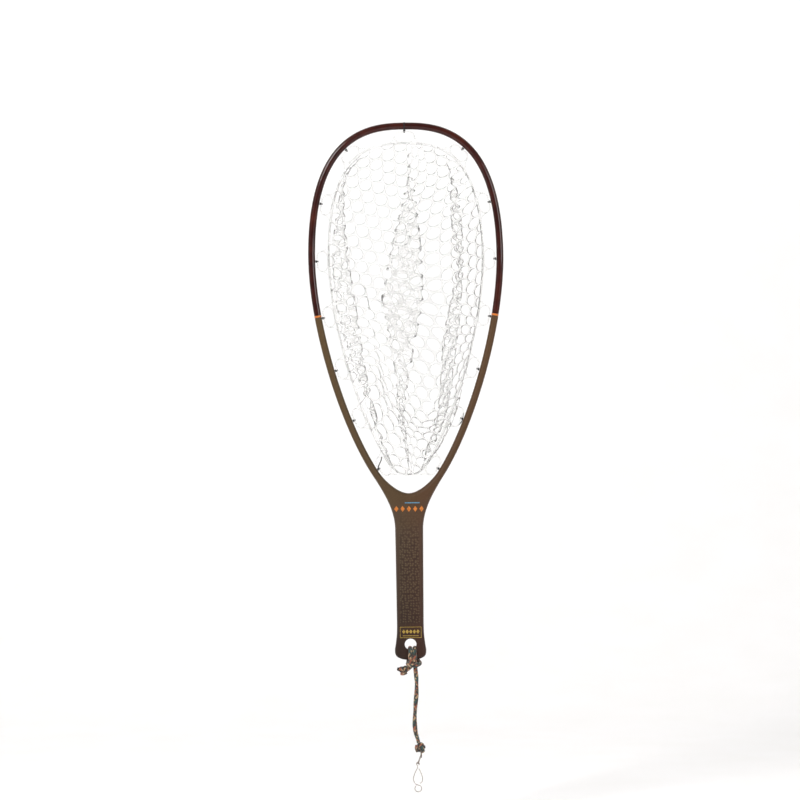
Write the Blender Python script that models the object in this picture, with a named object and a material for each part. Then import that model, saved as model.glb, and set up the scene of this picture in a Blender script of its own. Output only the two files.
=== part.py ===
"""A hand landing net: a hollow hooped bow on a forked handle, a moulded rubber bag laced into it,
and a short cord lanyard with a split ring and a spring-wire clip.

It stands upright in the XZ plane with the handle down, and it is used from the -Y side, where the
bag's mouth is. The origin is the middle of the grip.
"""

import math

import bmesh
import bpy
from mathutils import Vector

# Head, all in metres
OPENING_LENGTH = 0.4912  # inside the bow's crown to the bottom of the fork
HEAD_WIDTH = 0.2547  # across the head's centreline at its widest
WIDEST_ABOVE_FORK = 0.320
CROWN_REACH = 0.0395  # how far the crown's flat run pulls the curve sideways
SHOULDER_REACH = 0.174  # and how far the widest place pulls it up
FLANK_REACH = 0.0975  # and down
ARM_REACH = 0.076
ARM_END_HALF_GAP = 0.0438  # from the middle to the arm's centreline where it joins the throat
ARM_END_ABOVE_FORK = 0.0262
ARM_LEAN = math.radians(33.0)

BOW_DIAMETER = 0.0095
BOW_WALL = 0.0012
SPIGOT_DEPTH = 0.022  # into the bow, and the same into the arm
SPIGOT_FIT = 0.0003
COLLAR_HEIGHT = 0.0024
COLLAR_STANDS_PROUD = 0.00015
COLLAR_ABOVE_TIE = 0.0031

# Handle
HANDLE_LENGTH = 0.2258  # bottom of the fork to the end
GRIP_TO_END = 0.102  # middle of the grip to the end
NECK_ABOVE_GRIP = 0.074  # where the throat has narrowed to the grip
NECK_WIDTH = 0.0378
GRIP_WIDTH = 0.0364
GRIP_DEPTH = 0.018
END_WIDTH = 0.0424
END_DEPTH = 0.015
END_CROWN = 0.0065  # height of the shallow curve across the end
FLARE_LENGTH = 0.040  # from the end up to where the grip starts to widen
THROAT_DEPTH = 0.013  # front to back where the arms meet the throat
EDGE_ROUND = 0.0055
FORK_ROUND = 0.014
LANYARD_HOLE_RADIUS = 0.0080
LANYARD_HOLE_ABOVE_END = 0.0220

# Net bag and its ties
RIM_INSET = 0.0185  # from the frame's inner face to the rim's centreline
RIM_RADIUS = 0.0016
RIM_BOTTOM_ABOVE_FORK = 0.0255
BAG_DEPTH = 0.086
BAG_WALL = 0.0014
TIES_PER_SIDE = 7
TIES_LOWER_BY = (0.0, 0.0, 0.0018, 0.0040, 0.0032, 0.0006, 0.0)  # than an even spacing, by eye
LAST_TIE_ABOVE_ARM_END = 0.004
TIE_PIN_RADIUS = 0.0008
TIE_HOLE_RADIUS = 0.0011
TIE_HEAD_RADIUS = 0.0018
TIE_HEAD_HEIGHT = 0.0008
TIE_KNOT_RADIUS = 0.0019
TIE_KNOT_HEIGHT = 0.0010
TIE_EYE_RADIUS = 0.0018
TIE_EYE_WIRE = 0.00055
LUG_STRAND_RADIUS = 0.0009
LUG_TOP_HALF = 0.0085
LUG_BASE_HALF = 0.0120

# Lanyard
CORD_DIAMETER = 0.0050
HITCH_WIDTH = 0.0100  # two cords side by side
HITCH_THICKNESS = 0.0044
HITCH_OFFSET = 0.0015  # the pair sits a little right of the hole's middle
HITCH_FIT = 0.0005  # from the lip of the handle
CORD_ROUTE = [
    (0.0062, -0.0015, -0.1142),
    (0.0074, -0.0012, -0.1283),
    (0.0072, -0.0008, -0.1445),
    (0.0056, -0.0004, -0.1627),
    (0.0043, -0.0001, -0.1823),
    (0.0051, 0.0, -0.1971),
    (0.0080, 0.0, -0.2085),
    (0.0088, 0.0, -0.2126),
]
END_KNOT = (0.0112, 0.0, -0.2202)
CORD_EYE_RADIUS = 0.0032
CORD_EYE_THICKNESS = 0.0020

# Split ring and clip
RING_PIVOT = (0.0126, 0.0, -0.2296)
RING_RADIUS = 0.00645
RING_WIRE = 0.0009
RING_TILT = math.radians(21.8)  # the ring leans in the head's plane
CLIP_WIRE = 0.0012
CLIP_EYE_RADIUS = 0.0021
CLIP_LENGTH = 0.0288  # pivot to the bottom of the pear
CLIP_HALF_WIDTH = 0.0061
CLIP_RING_RADIUS = 0.00455
CLIP_RING_OFFSET = 0.0002  # the lower ring is off centre, which balances the clip
GATE_TOP_OFFSET = 0.0016
GATE_TOP_DROP = 0.0066

TOUCH_GAP = 0.0003
BORE_SIDES = 10  # the tube, its bore and the plug in it are cut with the same sides
Y_AXIS = Vector((0.0, 1.0, 0.0))

FORK_Z = HANDLE_LENGTH - GRIP_TO_END
END_Z = -GRIP_TO_END
HOLE_Z = END_Z + LANYARD_HOLE_ABOVE_END
TUBE_RADIUS = BOW_DIAMETER / 2
TIE_EYE_REACH = TUBE_RADIUS + TOUCH_GAP + TIE_KNOT_HEIGHT + TIE_EYE_RADIUS - TIE_EYE_WIRE / 2


# ---------------------------------------------------------------- small tools


def material(name, colour, roughness, metallic=0.0):
    """A Principled material with one plain colour."""
    made = bpy.data.materials.new(name)
    made.use_nodes = True
    shader = made.node_tree.nodes["Principled BSDF"]
    shader.inputs["Base Color"].default_value = (*colour, 1.0)
    shader.inputs["Roughness"].default_value = roughness
    shader.inputs["Metallic"].default_value = metallic
    made.diffuse_color = (*colour, 1.0)
    return made


def place(name, data, finish):
    """A new object in the scene for a mesh or a curve."""
    if finish is not None:
        data.materials.append(finish)
    thing = bpy.data.objects.new(name, data)
    bpy.context.scene.collection.objects.link(thing)
    return thing


def finish_mesh(work, name):
    """A bmesh with merged corners and outward faces, as a smooth-shaded mesh."""
    bmesh.ops.remove_doubles(work, verts=work.verts, dist=0.000002)
    bmesh.ops.dissolve_degenerate(work, edges=work.edges, dist=0.000002)
    bmesh.ops.recalc_face_normals(work, faces=work.faces)
    mesh = bpy.data.meshes.new(name)
    work.to_mesh(mesh)
    work.free()
    mesh.shade_smooth()
    mesh.set_sharp_from_angle(angle=math.radians(40))
    return mesh


def bridge(work, low, high, closed=True):
    """Quads between two rows of corners, closed round or left open."""
    count = len(low)
    for i in range(count if closed else count - 1):
        j = (i + 1) % count
        work.faces.new((low[i], low[j], high[j], high[i]))


def add_loft(work, rings, wrap=False):
    """Adds a skin over closed rings of equal count, with flat caps, or end to end for wrap."""
    loops = [[work.verts.new(p) for p in points] for points in rings]
    for low, high in zip(loops, loops[1:]):
        bridge(work, low, high)
    if wrap:
        bridge(work, loops[-1], loops[0])
    else:
        work.faces.new(loops[0])
        work.faces.new(loops[-1])


def loft(name, rings, finish, wrap=False):
    """One object that is one loft."""
    work = bmesh.new()
    add_loft(work, rings, wrap)
    return place(name, finish_mesh(work, name), finish)


def ring(centre, across, up, radius, sides, up_radius=None):
    """A circle, or an ellipse, of points about centre in the plane of two unit vectors."""
    tall = radius if up_radius is None else up_radius
    steps = [2 * math.pi * (i + 0.5) / sides for i in range(sides)]
    return [centre + across * (radius * math.cos(a)) + up * (tall * math.sin(a)) for a in steps]


def strand(path, radius, sides, closed=False):
    """Rings of a round strand along points that lie in a plane of constant depth."""
    rings = []
    last = len(path) - 1
    for k, point in enumerate(path):
        before = path[k - 1] if k or closed else point
        after = path[(k + 1) % len(path)] if k < last or closed else point
        along = (after - before).normalized()
        rings.append(ring(point, Vector((-along.z, 0, along.x)), Y_AXIS, radius, sides))
    return rings


def bezier(p0, p1, p2, p3, t):
    s = 1.0 - t
    return p0 * s**3 + p1 * (3 * s * s * t) + p2 * (3 * s * t * t) + p3 * t**3


def smooth(points, step):
    """Evenly spaced points, about step apart, on a smooth curve through the given points."""
    given = [Vector(p) for p in points]
    padded = [given[0] * 2 - given[1], *given, given[-1] * 2 - given[-2]]
    dense = []
    for a, b, c, d in zip(padded, padded[1:], padded[2:], padded[3:]):
        for k in range(16):
            t = k / 16
            pull = (b * 2) + (c - a) * t + (a * 2 - b * 5 + c * 4 - d) * t**2
            dense.append((pull + (b * 3 - a - c * 3 + d) * t**3) / 2)
    dense.append(given[-1])
    lengths = run_lengths(dense)
    count = max(2, round(lengths[-1] / step))
    return [at_length(dense, lengths, lengths[-1] * k / count)[0] for k in range(count + 1)]


def run_lengths(points):
    """Length along a polyline at each of its points."""
    total = [0.0]
    for a, b in zip(points, points[1:]):
        total.append(total[-1] + (b - a).length)
    return total


def at_length(points, lengths, s):
    """The point at a length along a polyline, and the direction there."""
    i = 1
    while i < len(points) - 1 and lengths[i] < s:
        i += 1
    a, b = points[i - 1], points[i]
    share = (s - lengths[i - 1]) / (lengths[i] - lengths[i - 1])
    return a.lerp(b, share), (b - a).normalized()


def wire(name, points, diameter, finish, resolution=2):
    """A round wire or cord with flat ends along a list of points."""
    curve = bpy.data.curves.new(name, "CURVE")
    curve.dimensions = "3D"
    curve.bevel_depth = diameter / 2
    curve.bevel_resolution = resolution
    curve.use_fill_caps = True
    line = curve.splines.new("POLY")
    line.points.add(len(points) - 1)
    for point, place_at in zip(line.points, points):
        point.co = (*place_at, 1.0)
    return place(name, curve, finish)


def ellipsoid(name, centre, radii, finish):
    """A plain rounded lump."""
    rings = []
    for k in range(1, 8):
        lift = math.pi * k / 8
        middle = Vector(centre) + Vector((0, 0, radii[2] * math.cos(lift)))
        across = math.sin(lift)
        rings.append(
            ring(middle, Vector((1, 0, 0)), Y_AXIS, radii[0] * across, 12, radii[1] * across)
        )
    return loft(name, rings, finish)


def torus(name, centre, across, up, radius, thickness, finish, steps=14, sides=6):
    """A ring of wire about centre, lying in the plane of two unit vectors."""
    normal = across.cross(up)
    rings = []
    for k in range(steps):
        turn = 2 * math.pi * k / steps
        out = across * math.cos(turn) + up * math.sin(turn)
        rings.append(ring(centre + out * radius, out, normal, thickness / 2, sides))
    return loft(name, rings, finish, wrap=True)


def combine(thing, tool, operation):
    """Cuts a tool out of a thing, or joins it on, with a Boolean modifier."""
    tool.hide_render = True
    tool.display_type = "WIRE"
    change = thing.modifiers.new(tool.name, "BOOLEAN")
    change.operation = operation
    change.solver = "EXACT"
    change.object = tool


def evaluated_mesh(thing):
    """The shape of an object with its modifiers applied, as a mesh of its own."""
    bpy.context.view_layer.update()
    graph = bpy.context.evaluated_depsgraph_get()
    return bpy.data.meshes.new_from_object(thing.evaluated_get(graph))


# ---------------------------------------------------------------- the head's curve


def head_half():
    """The right half of the head's centreline, crown to throat, as close points."""
    crown = Vector((0, 0, FORK_Z + OPENING_LENGTH + TUBE_RADIUS))
    widest = Vector((HEAD_WIDTH / 2, 0, FORK_Z + WIDEST_ABOVE_FORK))
    arm_end = Vector((ARM_END_HALF_GAP, 0, FORK_Z + ARM_END_ABOVE_FORK))
    lean = Vector((math.sin(ARM_LEAN), 0, math.cos(ARM_LEAN)))
    sideways = Vector((CROWN_REACH, 0, 0))
    above = Vector((0, 0, SHOULDER_REACH))
    below = Vector((0, 0, FLANK_REACH))
    upper = [bezier(crown, crown + sideways, widest + above, widest, k / 150) for k in range(150)]
    arm_pull = arm_end + lean * ARM_REACH
    lower = [bezier(widest, widest - below, arm_pull, arm_end, k / 150) for k in range(151)]
    return upper + lower


HEAD = head_half()
HEAD_LENGTHS = run_lengths(HEAD)
HALF_LENGTH = HEAD_LENGTHS[-1]


def on_head(s):
    """Centre and outward direction at a length from the crown, negative on the left side."""
    centre, along = at_length(HEAD, HEAD_LENGTHS, abs(s))
    outward = Vector((-along.z, 0, along.x))
    if s < 0:
        centre.x = -centre.x
        outward.x = -outward.x
    return centre, outward


def rim_half():
    """The right half of the bag rim's centreline down to the arm's end."""
    inset = TUBE_RADIUS + RIM_INSET
    points = []
    for s in [HALF_LENGTH * k / 150 for k in range(151)]:
        centre, outward = on_head(s)
        points.append(centre - outward * inset)
    return points


def tie_places():
    """Lengths from the crown of the ties, which are nearly evenly spaced along the rim."""
    lengths = run_lengths(rim_half())
    last_share = (HALF_LENGTH - LAST_TIE_ABOVE_ARM_END) / HALF_LENGTH * 150
    whole = int(last_share)
    last = lengths[whole] + (lengths[whole + 1] - lengths[whole]) * (last_share - whole)
    places = [0.0]
    for k in range(1, TIES_PER_SIDE + 1):
        wanted = last * k / TIES_PER_SIDE + TIES_LOWER_BY[k - 1]
        i = 1
        while lengths[i] < wanted and i < 150:
            i += 1
        share = (wanted - lengths[i - 1]) / (lengths[i] - lengths[i - 1])
        places.append(HALF_LENGTH * (i - 1 + share) / 150)
    return places


TIES = tie_places()
JOINT_TIE = 4  # the collar sits just above this tie on each side
COLLAR_AT = TIES[JOINT_TIE] - COLLAR_ABOVE_TIE
BOW_END = COLLAR_AT - COLLAR_HEIGHT / 2 - TOUCH_GAP
ARM_TOP = COLLAR_AT + COLLAR_HEIGHT / 2 + TOUCH_GAP


def head_rings(start, end, count, radius, sides):
    """Circles across the head's curve between two lengths from the crown."""
    rings = []
    for k in range(count + 1):
        centre, outward = on_head(start + (end - start) * k / count)
        rings.append(ring(centre, outward, Y_AXIS, radius, sides))
    return rings


# ---------------------------------------------------------------- frame pieces


def tie_cutter(name, s):
    """The hole that one tie passes through, across the frame."""
    centre, outward = on_head(s)
    along = Vector((outward.z, 0, -outward.x))
    reach = TUBE_RADIUS * 2
    rings = [ring(centre + outward * d, along, Y_AXIS, TIE_HOLE_RADIUS, 8) for d in (-reach, reach)]
    return loft(name, rings, None)


def drill(thing, places):
    """Cuts the tie holes at the given lengths from the crown."""
    for s in places:
        combine(thing, tie_cutter(f"{thing.name}_hole_{s * 1000:+.0f}", s), "DIFFERENCE")


def hoop_bow(finish):
    """The hollow tube round the head, open at both ends."""
    outer = head_rings(-BOW_END, BOW_END, 44, TUBE_RADIUS, BORE_SIDES)
    inner = head_rings(-BOW_END, BOW_END, 44, TUBE_RADIUS - BOW_WALL, BORE_SIDES)
    bow = loft("hoop_bow", outer + inner[::-1], finish, wrap=True)
    on_bow = [s for s in TIES if s < BOW_END]
    drill(bow, sorted({-s for s in on_bow} | set(on_bow)))


def collar(side, name, finish):
    """The coloured band between the bow and the arm."""
    ends = (COLLAR_AT - COLLAR_HEIGHT / 2, COLLAR_AT + COLLAR_HEIGHT / 2)
    outer_radius = TUBE_RADIUS + COLLAR_STANDS_PROUD
    inner_radius = TUBE_RADIUS - BOW_WALL
    outer = head_rings(side * ends[0], side * ends[1], 1, outer_radius, BORE_SIDES)
    inner = head_rings(side * ends[0], side * ends[1], 1, inner_radius, BORE_SIDES)
    loft(name, outer + inner[::-1], finish, wrap=True)


def spigot(side, name, finish):
    """The plug glued inside the bow's end and the arm's socket."""
    radius = TUBE_RADIUS - BOW_WALL - SPIGOT_FIT
    ends = (COLLAR_AT - SPIGOT_DEPTH, COLLAR_AT + SPIGOT_DEPTH)
    plug = loft(name, head_rings(side * ends[0], side * ends[1], 6, radius, BORE_SIDES), finish)
    drill(plug, [side * TIES[JOINT_TIE]])


def handle_edge():
    """The outer edge of the handle from the neck down to the end's middle, as close points."""
    flare_top = END_Z + FLARE_LENGTH
    corner = END_Z + END_CROWN
    points = [
        (NECK_WIDTH / 2, 0, NECK_ABOVE_GRIP),
        ((NECK_WIDTH + GRIP_WIDTH) / 4, 0, NECK_ABOVE_GRIP * 0.4),
        (GRIP_WIDTH / 2, 0, flare_top * 0.5),
        (GRIP_WIDTH / 2, 0, flare_top),
        (GRIP_WIDTH * 0.2 + END_WIDTH * 0.3, 0, END_Z + FLARE_LENGTH * 0.55),
        (END_WIDTH / 2, 0, corner + END_CROWN * 1.2),
        (END_WIDTH * 0.462, 0, corner),
        (END_WIDTH * 0.29, 0, END_Z + END_CROWN * 0.33),
        (0, 0, END_Z),
    ]
    return smooth(points, 0.0075)


def edge_normals(points, first, last):
    """Outward directions along an edge that runs down the right side, with set end directions."""
    normals = [Vector(first)]
    for a, b in zip(points, points[2:]):
        along = (b - a).normalized()
        normals.append(Vector((-along.z, 0, along.x)))
    normals.append(Vector(last))
    return normals


def yoke_stations():
    """Pairs of outer and inner edge points down the right half of the handle and its arm.

    Each is (outer, its outward direction, inner, its direction or None on the middle, depth).
    """
    stations = []
    arm_steps = 14
    for k in range(arm_steps + 1):
        share = k / arm_steps
        centre, outward = on_head(ARM_TOP + (HALF_LENGTH - ARM_TOP) * share)
        depth = BOW_DIAMETER + (THROAT_DEPTH - BOW_DIAMETER) * share
        outer = centre + outward * TUBE_RADIUS
        inner = centre - outward * TUBE_RADIUS
        stations.append((outer, outward, inner, -outward, depth))
    outer_end, normal_end, inner_end = stations[-1][:3]
    lean = Vector((math.sin(ARM_LEAN), 0, math.cos(ARM_LEAN)))
    neck = Vector((NECK_WIDTH / 2, 0, NECK_ABOVE_GRIP))
    drop = (outer_end.z - neck.z) * 0.52
    rise = Vector((0, 0, (outer_end.z - neck.z) * 0.30))
    throat_steps = 16
    throat = [
        bezier(outer_end, outer_end - lean * drop, neck + rise, neck, k / throat_steps)
        for k in range(throat_steps + 1)
    ]
    edge = throat[:-1] + handle_edge()
    normals = edge_normals(edge, normal_end, (0, 0, -1))
    fork = Vector((0, 0, FORK_Z))
    fork_pull = fork + Vector((FORK_ROUND, 0, 0))
    fork_steps = 6
    crotch = [
        bezier(inner_end, inner_end - lean * FORK_ROUND, fork_pull, fork, k / fork_steps)
        for k in range(fork_steps + 1)
    ]
    crotch_normals = [-n for n in edge_normals(crotch, normal_end, (0, 0, -1))]
    deepen = GRIP_DEPTH - THROAT_DEPTH
    for k in range(1, fork_steps + 1):
        depth = THROAT_DEPTH + deepen * ease(k / throat_steps)
        stations.append((edge[k], normals[k], crotch[k], crotch_normals[k], depth))
    top_z = FORK_Z - EDGE_ROUND
    bottom_z = END_Z + EDGE_ROUND
    from_z = edge[fork_steps].z
    for k in range(fork_steps, len(edge)):
        share = (from_z - edge[k].z) / (from_z - END_Z)
        middle = Vector((0, 0, top_z + (bottom_z - top_z) * share))
        depth = THROAT_DEPTH + deepen * ease(min(1.0, k / throat_steps))
        near_end = (END_Z + FLARE_LENGTH - edge[k].z) / (FLARE_LENGTH - END_CROWN * 2)
        depth -= (GRIP_DEPTH - END_DEPTH) * ease(max(0.0, min(1.0, near_end)))
        stations.append((edge[k], normals[k], middle, None, depth))
    return stations


def ease(share):
    return share * share * (3 - 2 * share)


def edge_arc(point, normal, rounding, depth):
    """The rounded side of a slab from its front face round to its back face."""
    core = point - normal * rounding
    turns = [math.pi * k / 6 for k in range(7)]
    return [
        core + normal * (rounding * math.sin(a)) - Y_AXIS * (depth / 2 * math.cos(a)) for a in turns
    ]


def handle_yoke(finish):
    """The one-piece moulded handle with its throat and two arms."""
    work = bmesh.new()
    arms = []
    halves = []
    for outer, normal, inner, inner_normal, depth in yoke_stations():
        width = (outer - inner).length
        rounding = min(EDGE_ROUND, width * 0.46)
        if inner_normal is None:
            front = inner - Y_AXIS * (depth / 2)
            back = inner + Y_AXIS * (depth / 2)
            halves.append([front, *edge_arc(outer, normal, EDGE_ROUND, depth), back])
        else:
            outside = edge_arc(outer, normal, rounding, depth)
            inside = edge_arc(inner, inner_normal, rounding, depth)
            arms.append(outside + inside[::-1])
    for mirror in (1, -1):
        scale = Vector((mirror, 1, 1))
        arm_loops = [[work.verts.new(p * scale) for p in loop] for loop in arms]
        half_loops = [[work.verts.new(p * scale) for p in loop] for loop in halves]
        work.faces.new(arm_loops[0])
        for low, high in zip(arm_loops, arm_loops[1:]):
            bridge(work, low, high)
        for low, high in zip(half_loops, half_loops[1:]):
            bridge(work, low, high, closed=False)
    yoke = place("handle_yoke", finish_mesh(work, "handle_yoke"), finish)
    socket_radius = TUBE_RADIUS - BOW_WALL
    socket_end = COLLAR_AT + SPIGOT_DEPTH + TOUCH_GAP
    for side in (1, -1):
        rings = head_rings(side * (ARM_TOP - TOUCH_GAP), side * socket_end, 6, socket_radius, BORE_SIDES)
        combine(yoke, loft(f"socket_cutter_{side:+d}", rings, None), "DIFFERENCE")
    hole = [
        ring(Vector((0, y, HOLE_Z)), Vector((1, 0, 0)), Vector((0, 0, 1)), LANYARD_HOLE_RADIUS, 28)
        for y in (-GRIP_DEPTH, GRIP_DEPTH)
    ]
    combine(yoke, loft("lanyard_hole_cutter", hole, None), "DIFFERENCE")
    on_arm = [s for s in TIES if s > ARM_TOP]
    drill(yoke, sorted([-s for s in on_arm] + on_arm))


# ---------------------------------------------------------------- ties and bag


def net_ties(finish):
    """The short knotted ties: a pin through the frame, and an eye round the bag's lug."""
    start = TUBE_RADIUS + TOUCH_GAP
    profile = [
        (start + TIE_HEAD_HEIGHT, TIE_HEAD_RADIUS * 0.6),
        (start + TIE_HEAD_HEIGHT * 0.5, TIE_HEAD_RADIUS),
        (start, TIE_HEAD_RADIUS),
        (start - TOUCH_GAP / 2, TIE_PIN_RADIUS),
        (-start + TOUCH_GAP / 2, TIE_PIN_RADIUS),
        (-start, TIE_KNOT_RADIUS * 0.9),
        (-start - TIE_KNOT_HEIGHT * 0.5, TIE_KNOT_RADIUS),
        (-start - TIE_KNOT_HEIGHT, TIE_KNOT_RADIUS * 0.7),
    ]
    x_axis = Vector((1, 0, 0))
    z_axis = Vector((0, 0, 1))
    rings = [ring(z_axis * height, x_axis, Y_AXIS, radius, 7) for height, radius in profile]
    pin = loft("tie_pin", rings, finish)
    eye_at = z_axis * -TIE_EYE_REACH
    eye = torus("tie_eye", eye_at, Y_AXIS, z_axis, TIE_EYE_RADIUS, TIE_EYE_WIRE * 2, None, 10, 5)
    combine(pin, eye, "UNION")
    shape = evaluated_mesh(pin)
    bpy.data.objects.remove(pin)
    bpy.data.objects.remove(eye)
    for side, label in ((1, "right"), (-1, "left")):
        for k, s in enumerate(TIES):
            if k == 0 and side < 0:
                continue
            centre, outward = on_head(side * s)
            name = "tie_top" if k == 0 else f"tie_{label}_{k}"
            tie = bpy.data.objects.new(name, shape)
            tie.location = centre
            tie.rotation_euler.y = math.atan2(outward.x, outward.z)
            bpy.context.scene.collection.objects.link(tie)


def rim_loop(step):
    """The whole rim of the bag, closed, as evenly spaced points from the crown clockwise."""
    side = rim_half()[::3]
    bottom = Vector((0, 0, FORK_Z + RIM_BOTTOM_ABOVE_FORK))
    low = side[-1]
    sill = Vector((low.x * 0.55, 0, bottom.z + (low.z - bottom.z) * 0.18))
    right = smooth([*side, sill, bottom], step)
    left = [Vector((-p.x, 0, p.z)) for p in right[-2:0:-1]]
    return right + left


def lugs():
    """The bag's moulded loops, one at each tie, from the rim out to the frame."""
    work = bmesh.new()
    height = TUBE_RADIUS + RIM_INSET - TIE_EYE_REACH
    shape = [
        (-LUG_BASE_HALF, height),
        (-LUG_TOP_HALF - LUG_STRAND_RADIUS, LUG_STRAND_RADIUS),
        (-LUG_TOP_HALF, 0.0),
        (LUG_TOP_HALF, 0.0),
        (LUG_TOP_HALF + LUG_STRAND_RADIUS, LUG_STRAND_RADIUS),
        (LUG_BASE_HALF, height),
    ]
    for s in sorted([-s for s in TIES[1:]] + TIES):
        centre, outward = on_head(s)
        along = Vector((outward.z, 0, -outward.x))
        top = centre - outward * TIE_EYE_REACH
        path = [top + along * x - outward * z for x, z in shape]
        add_loft(work, strand(path, LUG_STRAND_RADIUS, 6))
    return place("bag_lugs", finish_mesh(work, "bag_lugs"), None)


def pouch():
    """The bag's thin wall, hanging behind its open mouth."""
    outline = rim_loop(0.030)
    top = max(p.z for p in outline)
    bottom = min(p.z for p in outline)
    height = top - bottom
    # depth, width, drop of the top and rise of the bottom, as shares of the full sizes
    sections = [
        (0.0, 1.0, 0.0, 0.0),
        (0.22, 0.985, 0.03, 0.004),
        (0.50, 0.94, 0.12, 0.012),
        (0.74, 0.85, 0.26, 0.030),
        (0.91, 0.68, 0.42, 0.070),
        (1.0, 0.42, 0.60, 0.140),
    ]

    def section(depth, width, drop, rise, thinner):
        high = top - drop * height - thinner
        low = bottom + rise * height + thinner
        half = HEAD_WIDTH / 2 * width
        narrow = (half - thinner) / half * width
        return [
            Vector((p.x * narrow, depth, low + (high - low) * (p.z - bottom) / height))
            for p in outline
        ]

    outer = [section(d * BAG_DEPTH, w, t, b, 0.0) for d, w, t, b in sections]
    inner = [section(d * (BAG_DEPTH - BAG_WALL), w, t, b, BAG_WALL) for d, w, t, b in sections]
    return loft("bag_pouch", outer[::-1] + inner, None)


def net_bag(finish):
    """The moulded rubber bag: rim, lugs and a thin wall with its mouth open to the front."""
    rings = strand(rim_loop(0.018), RIM_RADIUS, 6, closed=True)
    bag = loft("net_bag", rings, finish, wrap=True)
    combine(bag, pouch(), "UNION")
    combine(bag, lugs(), "UNION")


# ---------------------------------------------------------------- lanyard


def lanyard_hitch(finish):
    """The doubled cord round the handle's lip, with the lump of its bight below."""
    half_depth = END_DEPTH / 2 + HITCH_FIT + HITCH_THICKNESS / 2 + 0.0006
    top = HOLE_Z - LANYARD_HOLE_RADIUS + HITCH_THICKNESS / 2 + 0.0024
    bottom = END_Z - HITCH_FIT - HITCH_THICKNESS / 2
    corner = 0.0040
    corners = [
        (half_depth - corner, top - corner, 0),
        (-half_depth + corner, top - corner, 1),
        (-half_depth + corner, bottom + corner, 2),
        (half_depth - corner, bottom + corner, 3),
    ]
    rings = []
    for y, z, quarter in corners:
        for k in range(4):
            turn = math.pi / 2 * (quarter + k / 3)
            out = Vector((0, math.cos(turn), math.sin(turn)))
            centre = Vector((HITCH_OFFSET, y, z)) + out * corner
            x_axis = Vector((1, 0, 0))
            rings.append(ring(centre, x_axis, out, HITCH_WIDTH / 2, 10, HITCH_THICKNESS / 2))
    hitch = loft("lanyard_hitch", rings, finish, wrap=True)
    start = Vector(CORD_ROUTE[0])
    radii = (0.0072, 0.0055, 0.0049)
    lump_at = (start.x, start.y, start.z + radii[2] + TOUCH_GAP)
    combine(hitch, ellipsoid("bight_lump", lump_at, radii, None), "UNION")


def lanyard_tail_knot(finish):
    """The overhand stopper on the cord's short tail, beside the hitch."""
    start = Vector(CORD_ROUTE[0])
    radii = (0.0068, 0.0050, 0.0050)
    beside = start.x - 0.0072 - TOUCH_GAP - radii[0]
    knot_at = (beside - 0.0016, start.y, start.z - 0.0006)
    ellipsoid("lanyard_tail_knot", knot_at, radii, finish)


def lanyard_cord(finish):
    """The long standing part, which hangs with a slight wave."""
    wire("lanyard_cord", smooth(CORD_ROUTE, 0.0035), CORD_DIAMETER, finish)


def lanyard_end_knot(finish):
    """The knot at the foot of the cord, with the eye that carries the split ring."""
    knot = ellipsoid("lanyard_end_knot", END_KNOT, (0.0066, 0.0058, 0.0070), finish)
    pivot = Vector(RING_PIVOT)
    x_axis = Vector((1, 0, 0))
    z_axis = Vector((0, 0, 1))
    eye = torus(
        "cord_eye", pivot, x_axis, z_axis, CORD_EYE_RADIUS, CORD_EYE_THICKNESS, None, 16, 8
    )
    combine(knot, eye, "UNION")


def ring_drop():
    """Unit vector from the ring's top to its bottom."""
    return Vector((-math.sin(RING_TILT), 0, -math.cos(RING_TILT)))


def split_ring(finish):
    """Two close turns of wire, seen nearly edge-on from the front."""
    pivot = Vector(RING_PIVOT)
    down = ring_drop()
    centre = down * RING_RADIUS
    axis = Y_AXIS.cross(down)
    turns = 1.93
    pitch = RING_WIRE * 1.22
    steps = 46
    points = []
    for k in range(steps + 1):
        share = k / steps - 0.5
        turn = 2 * math.pi * turns * share
        out = Y_AXIS * math.sin(turn) + down * math.cos(turn)
        points.append(centre + out * RING_RADIUS + axis * (pitch * turns * share))
    made = wire("split_ring", points, RING_WIRE, finish, 1)
    made.location = pivot


def clip_pivot():
    return Vector(RING_PIVOT) + ring_drop() * (2 * RING_RADIUS)


def clip_body(finish):
    """One bent wire: the top eye, the left leg of the pear and the ring at the foot."""
    points = []
    for k in range(15):
        turn = math.radians(-60 + 310 * k / 14)
        points.append((CLIP_EYE_RADIUS * math.cos(turn), 0, CLIP_EYE_RADIUS * math.sin(turn)))
    half = CLIP_HALF_WIDTH
    length = CLIP_LENGTH
    leg = smooth(
        [
            (points[-1][0], 0, points[-1][2]),
            (-0.0007, 0, -length * 0.20),
            (-half * 0.60, 0, -length * 0.40),
            (-half * 0.97, 0, -length * 0.63),
            (-half * 0.94, 0, -length * 0.80),
            (-half * 0.50, 0, -length * 0.95),
            (CLIP_RING_OFFSET, 0, -length),
        ],
        0.0013,
    )
    points += [tuple(p) for p in leg[1:]]
    ring_centre = (CLIP_RING_OFFSET, -length - CLIP_RING_RADIUS)
    for k in range(1, 21):
        turn = math.radians(90 - 325 * k / 20)
        x = ring_centre[0] + CLIP_RING_RADIUS * math.cos(turn)
        points.append((x, 0, ring_centre[1] + CLIP_RING_RADIUS * math.sin(turn)))
    made = wire("clip_body", points, CLIP_WIRE, finish, 1)
    made.location = clip_pivot()


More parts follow.
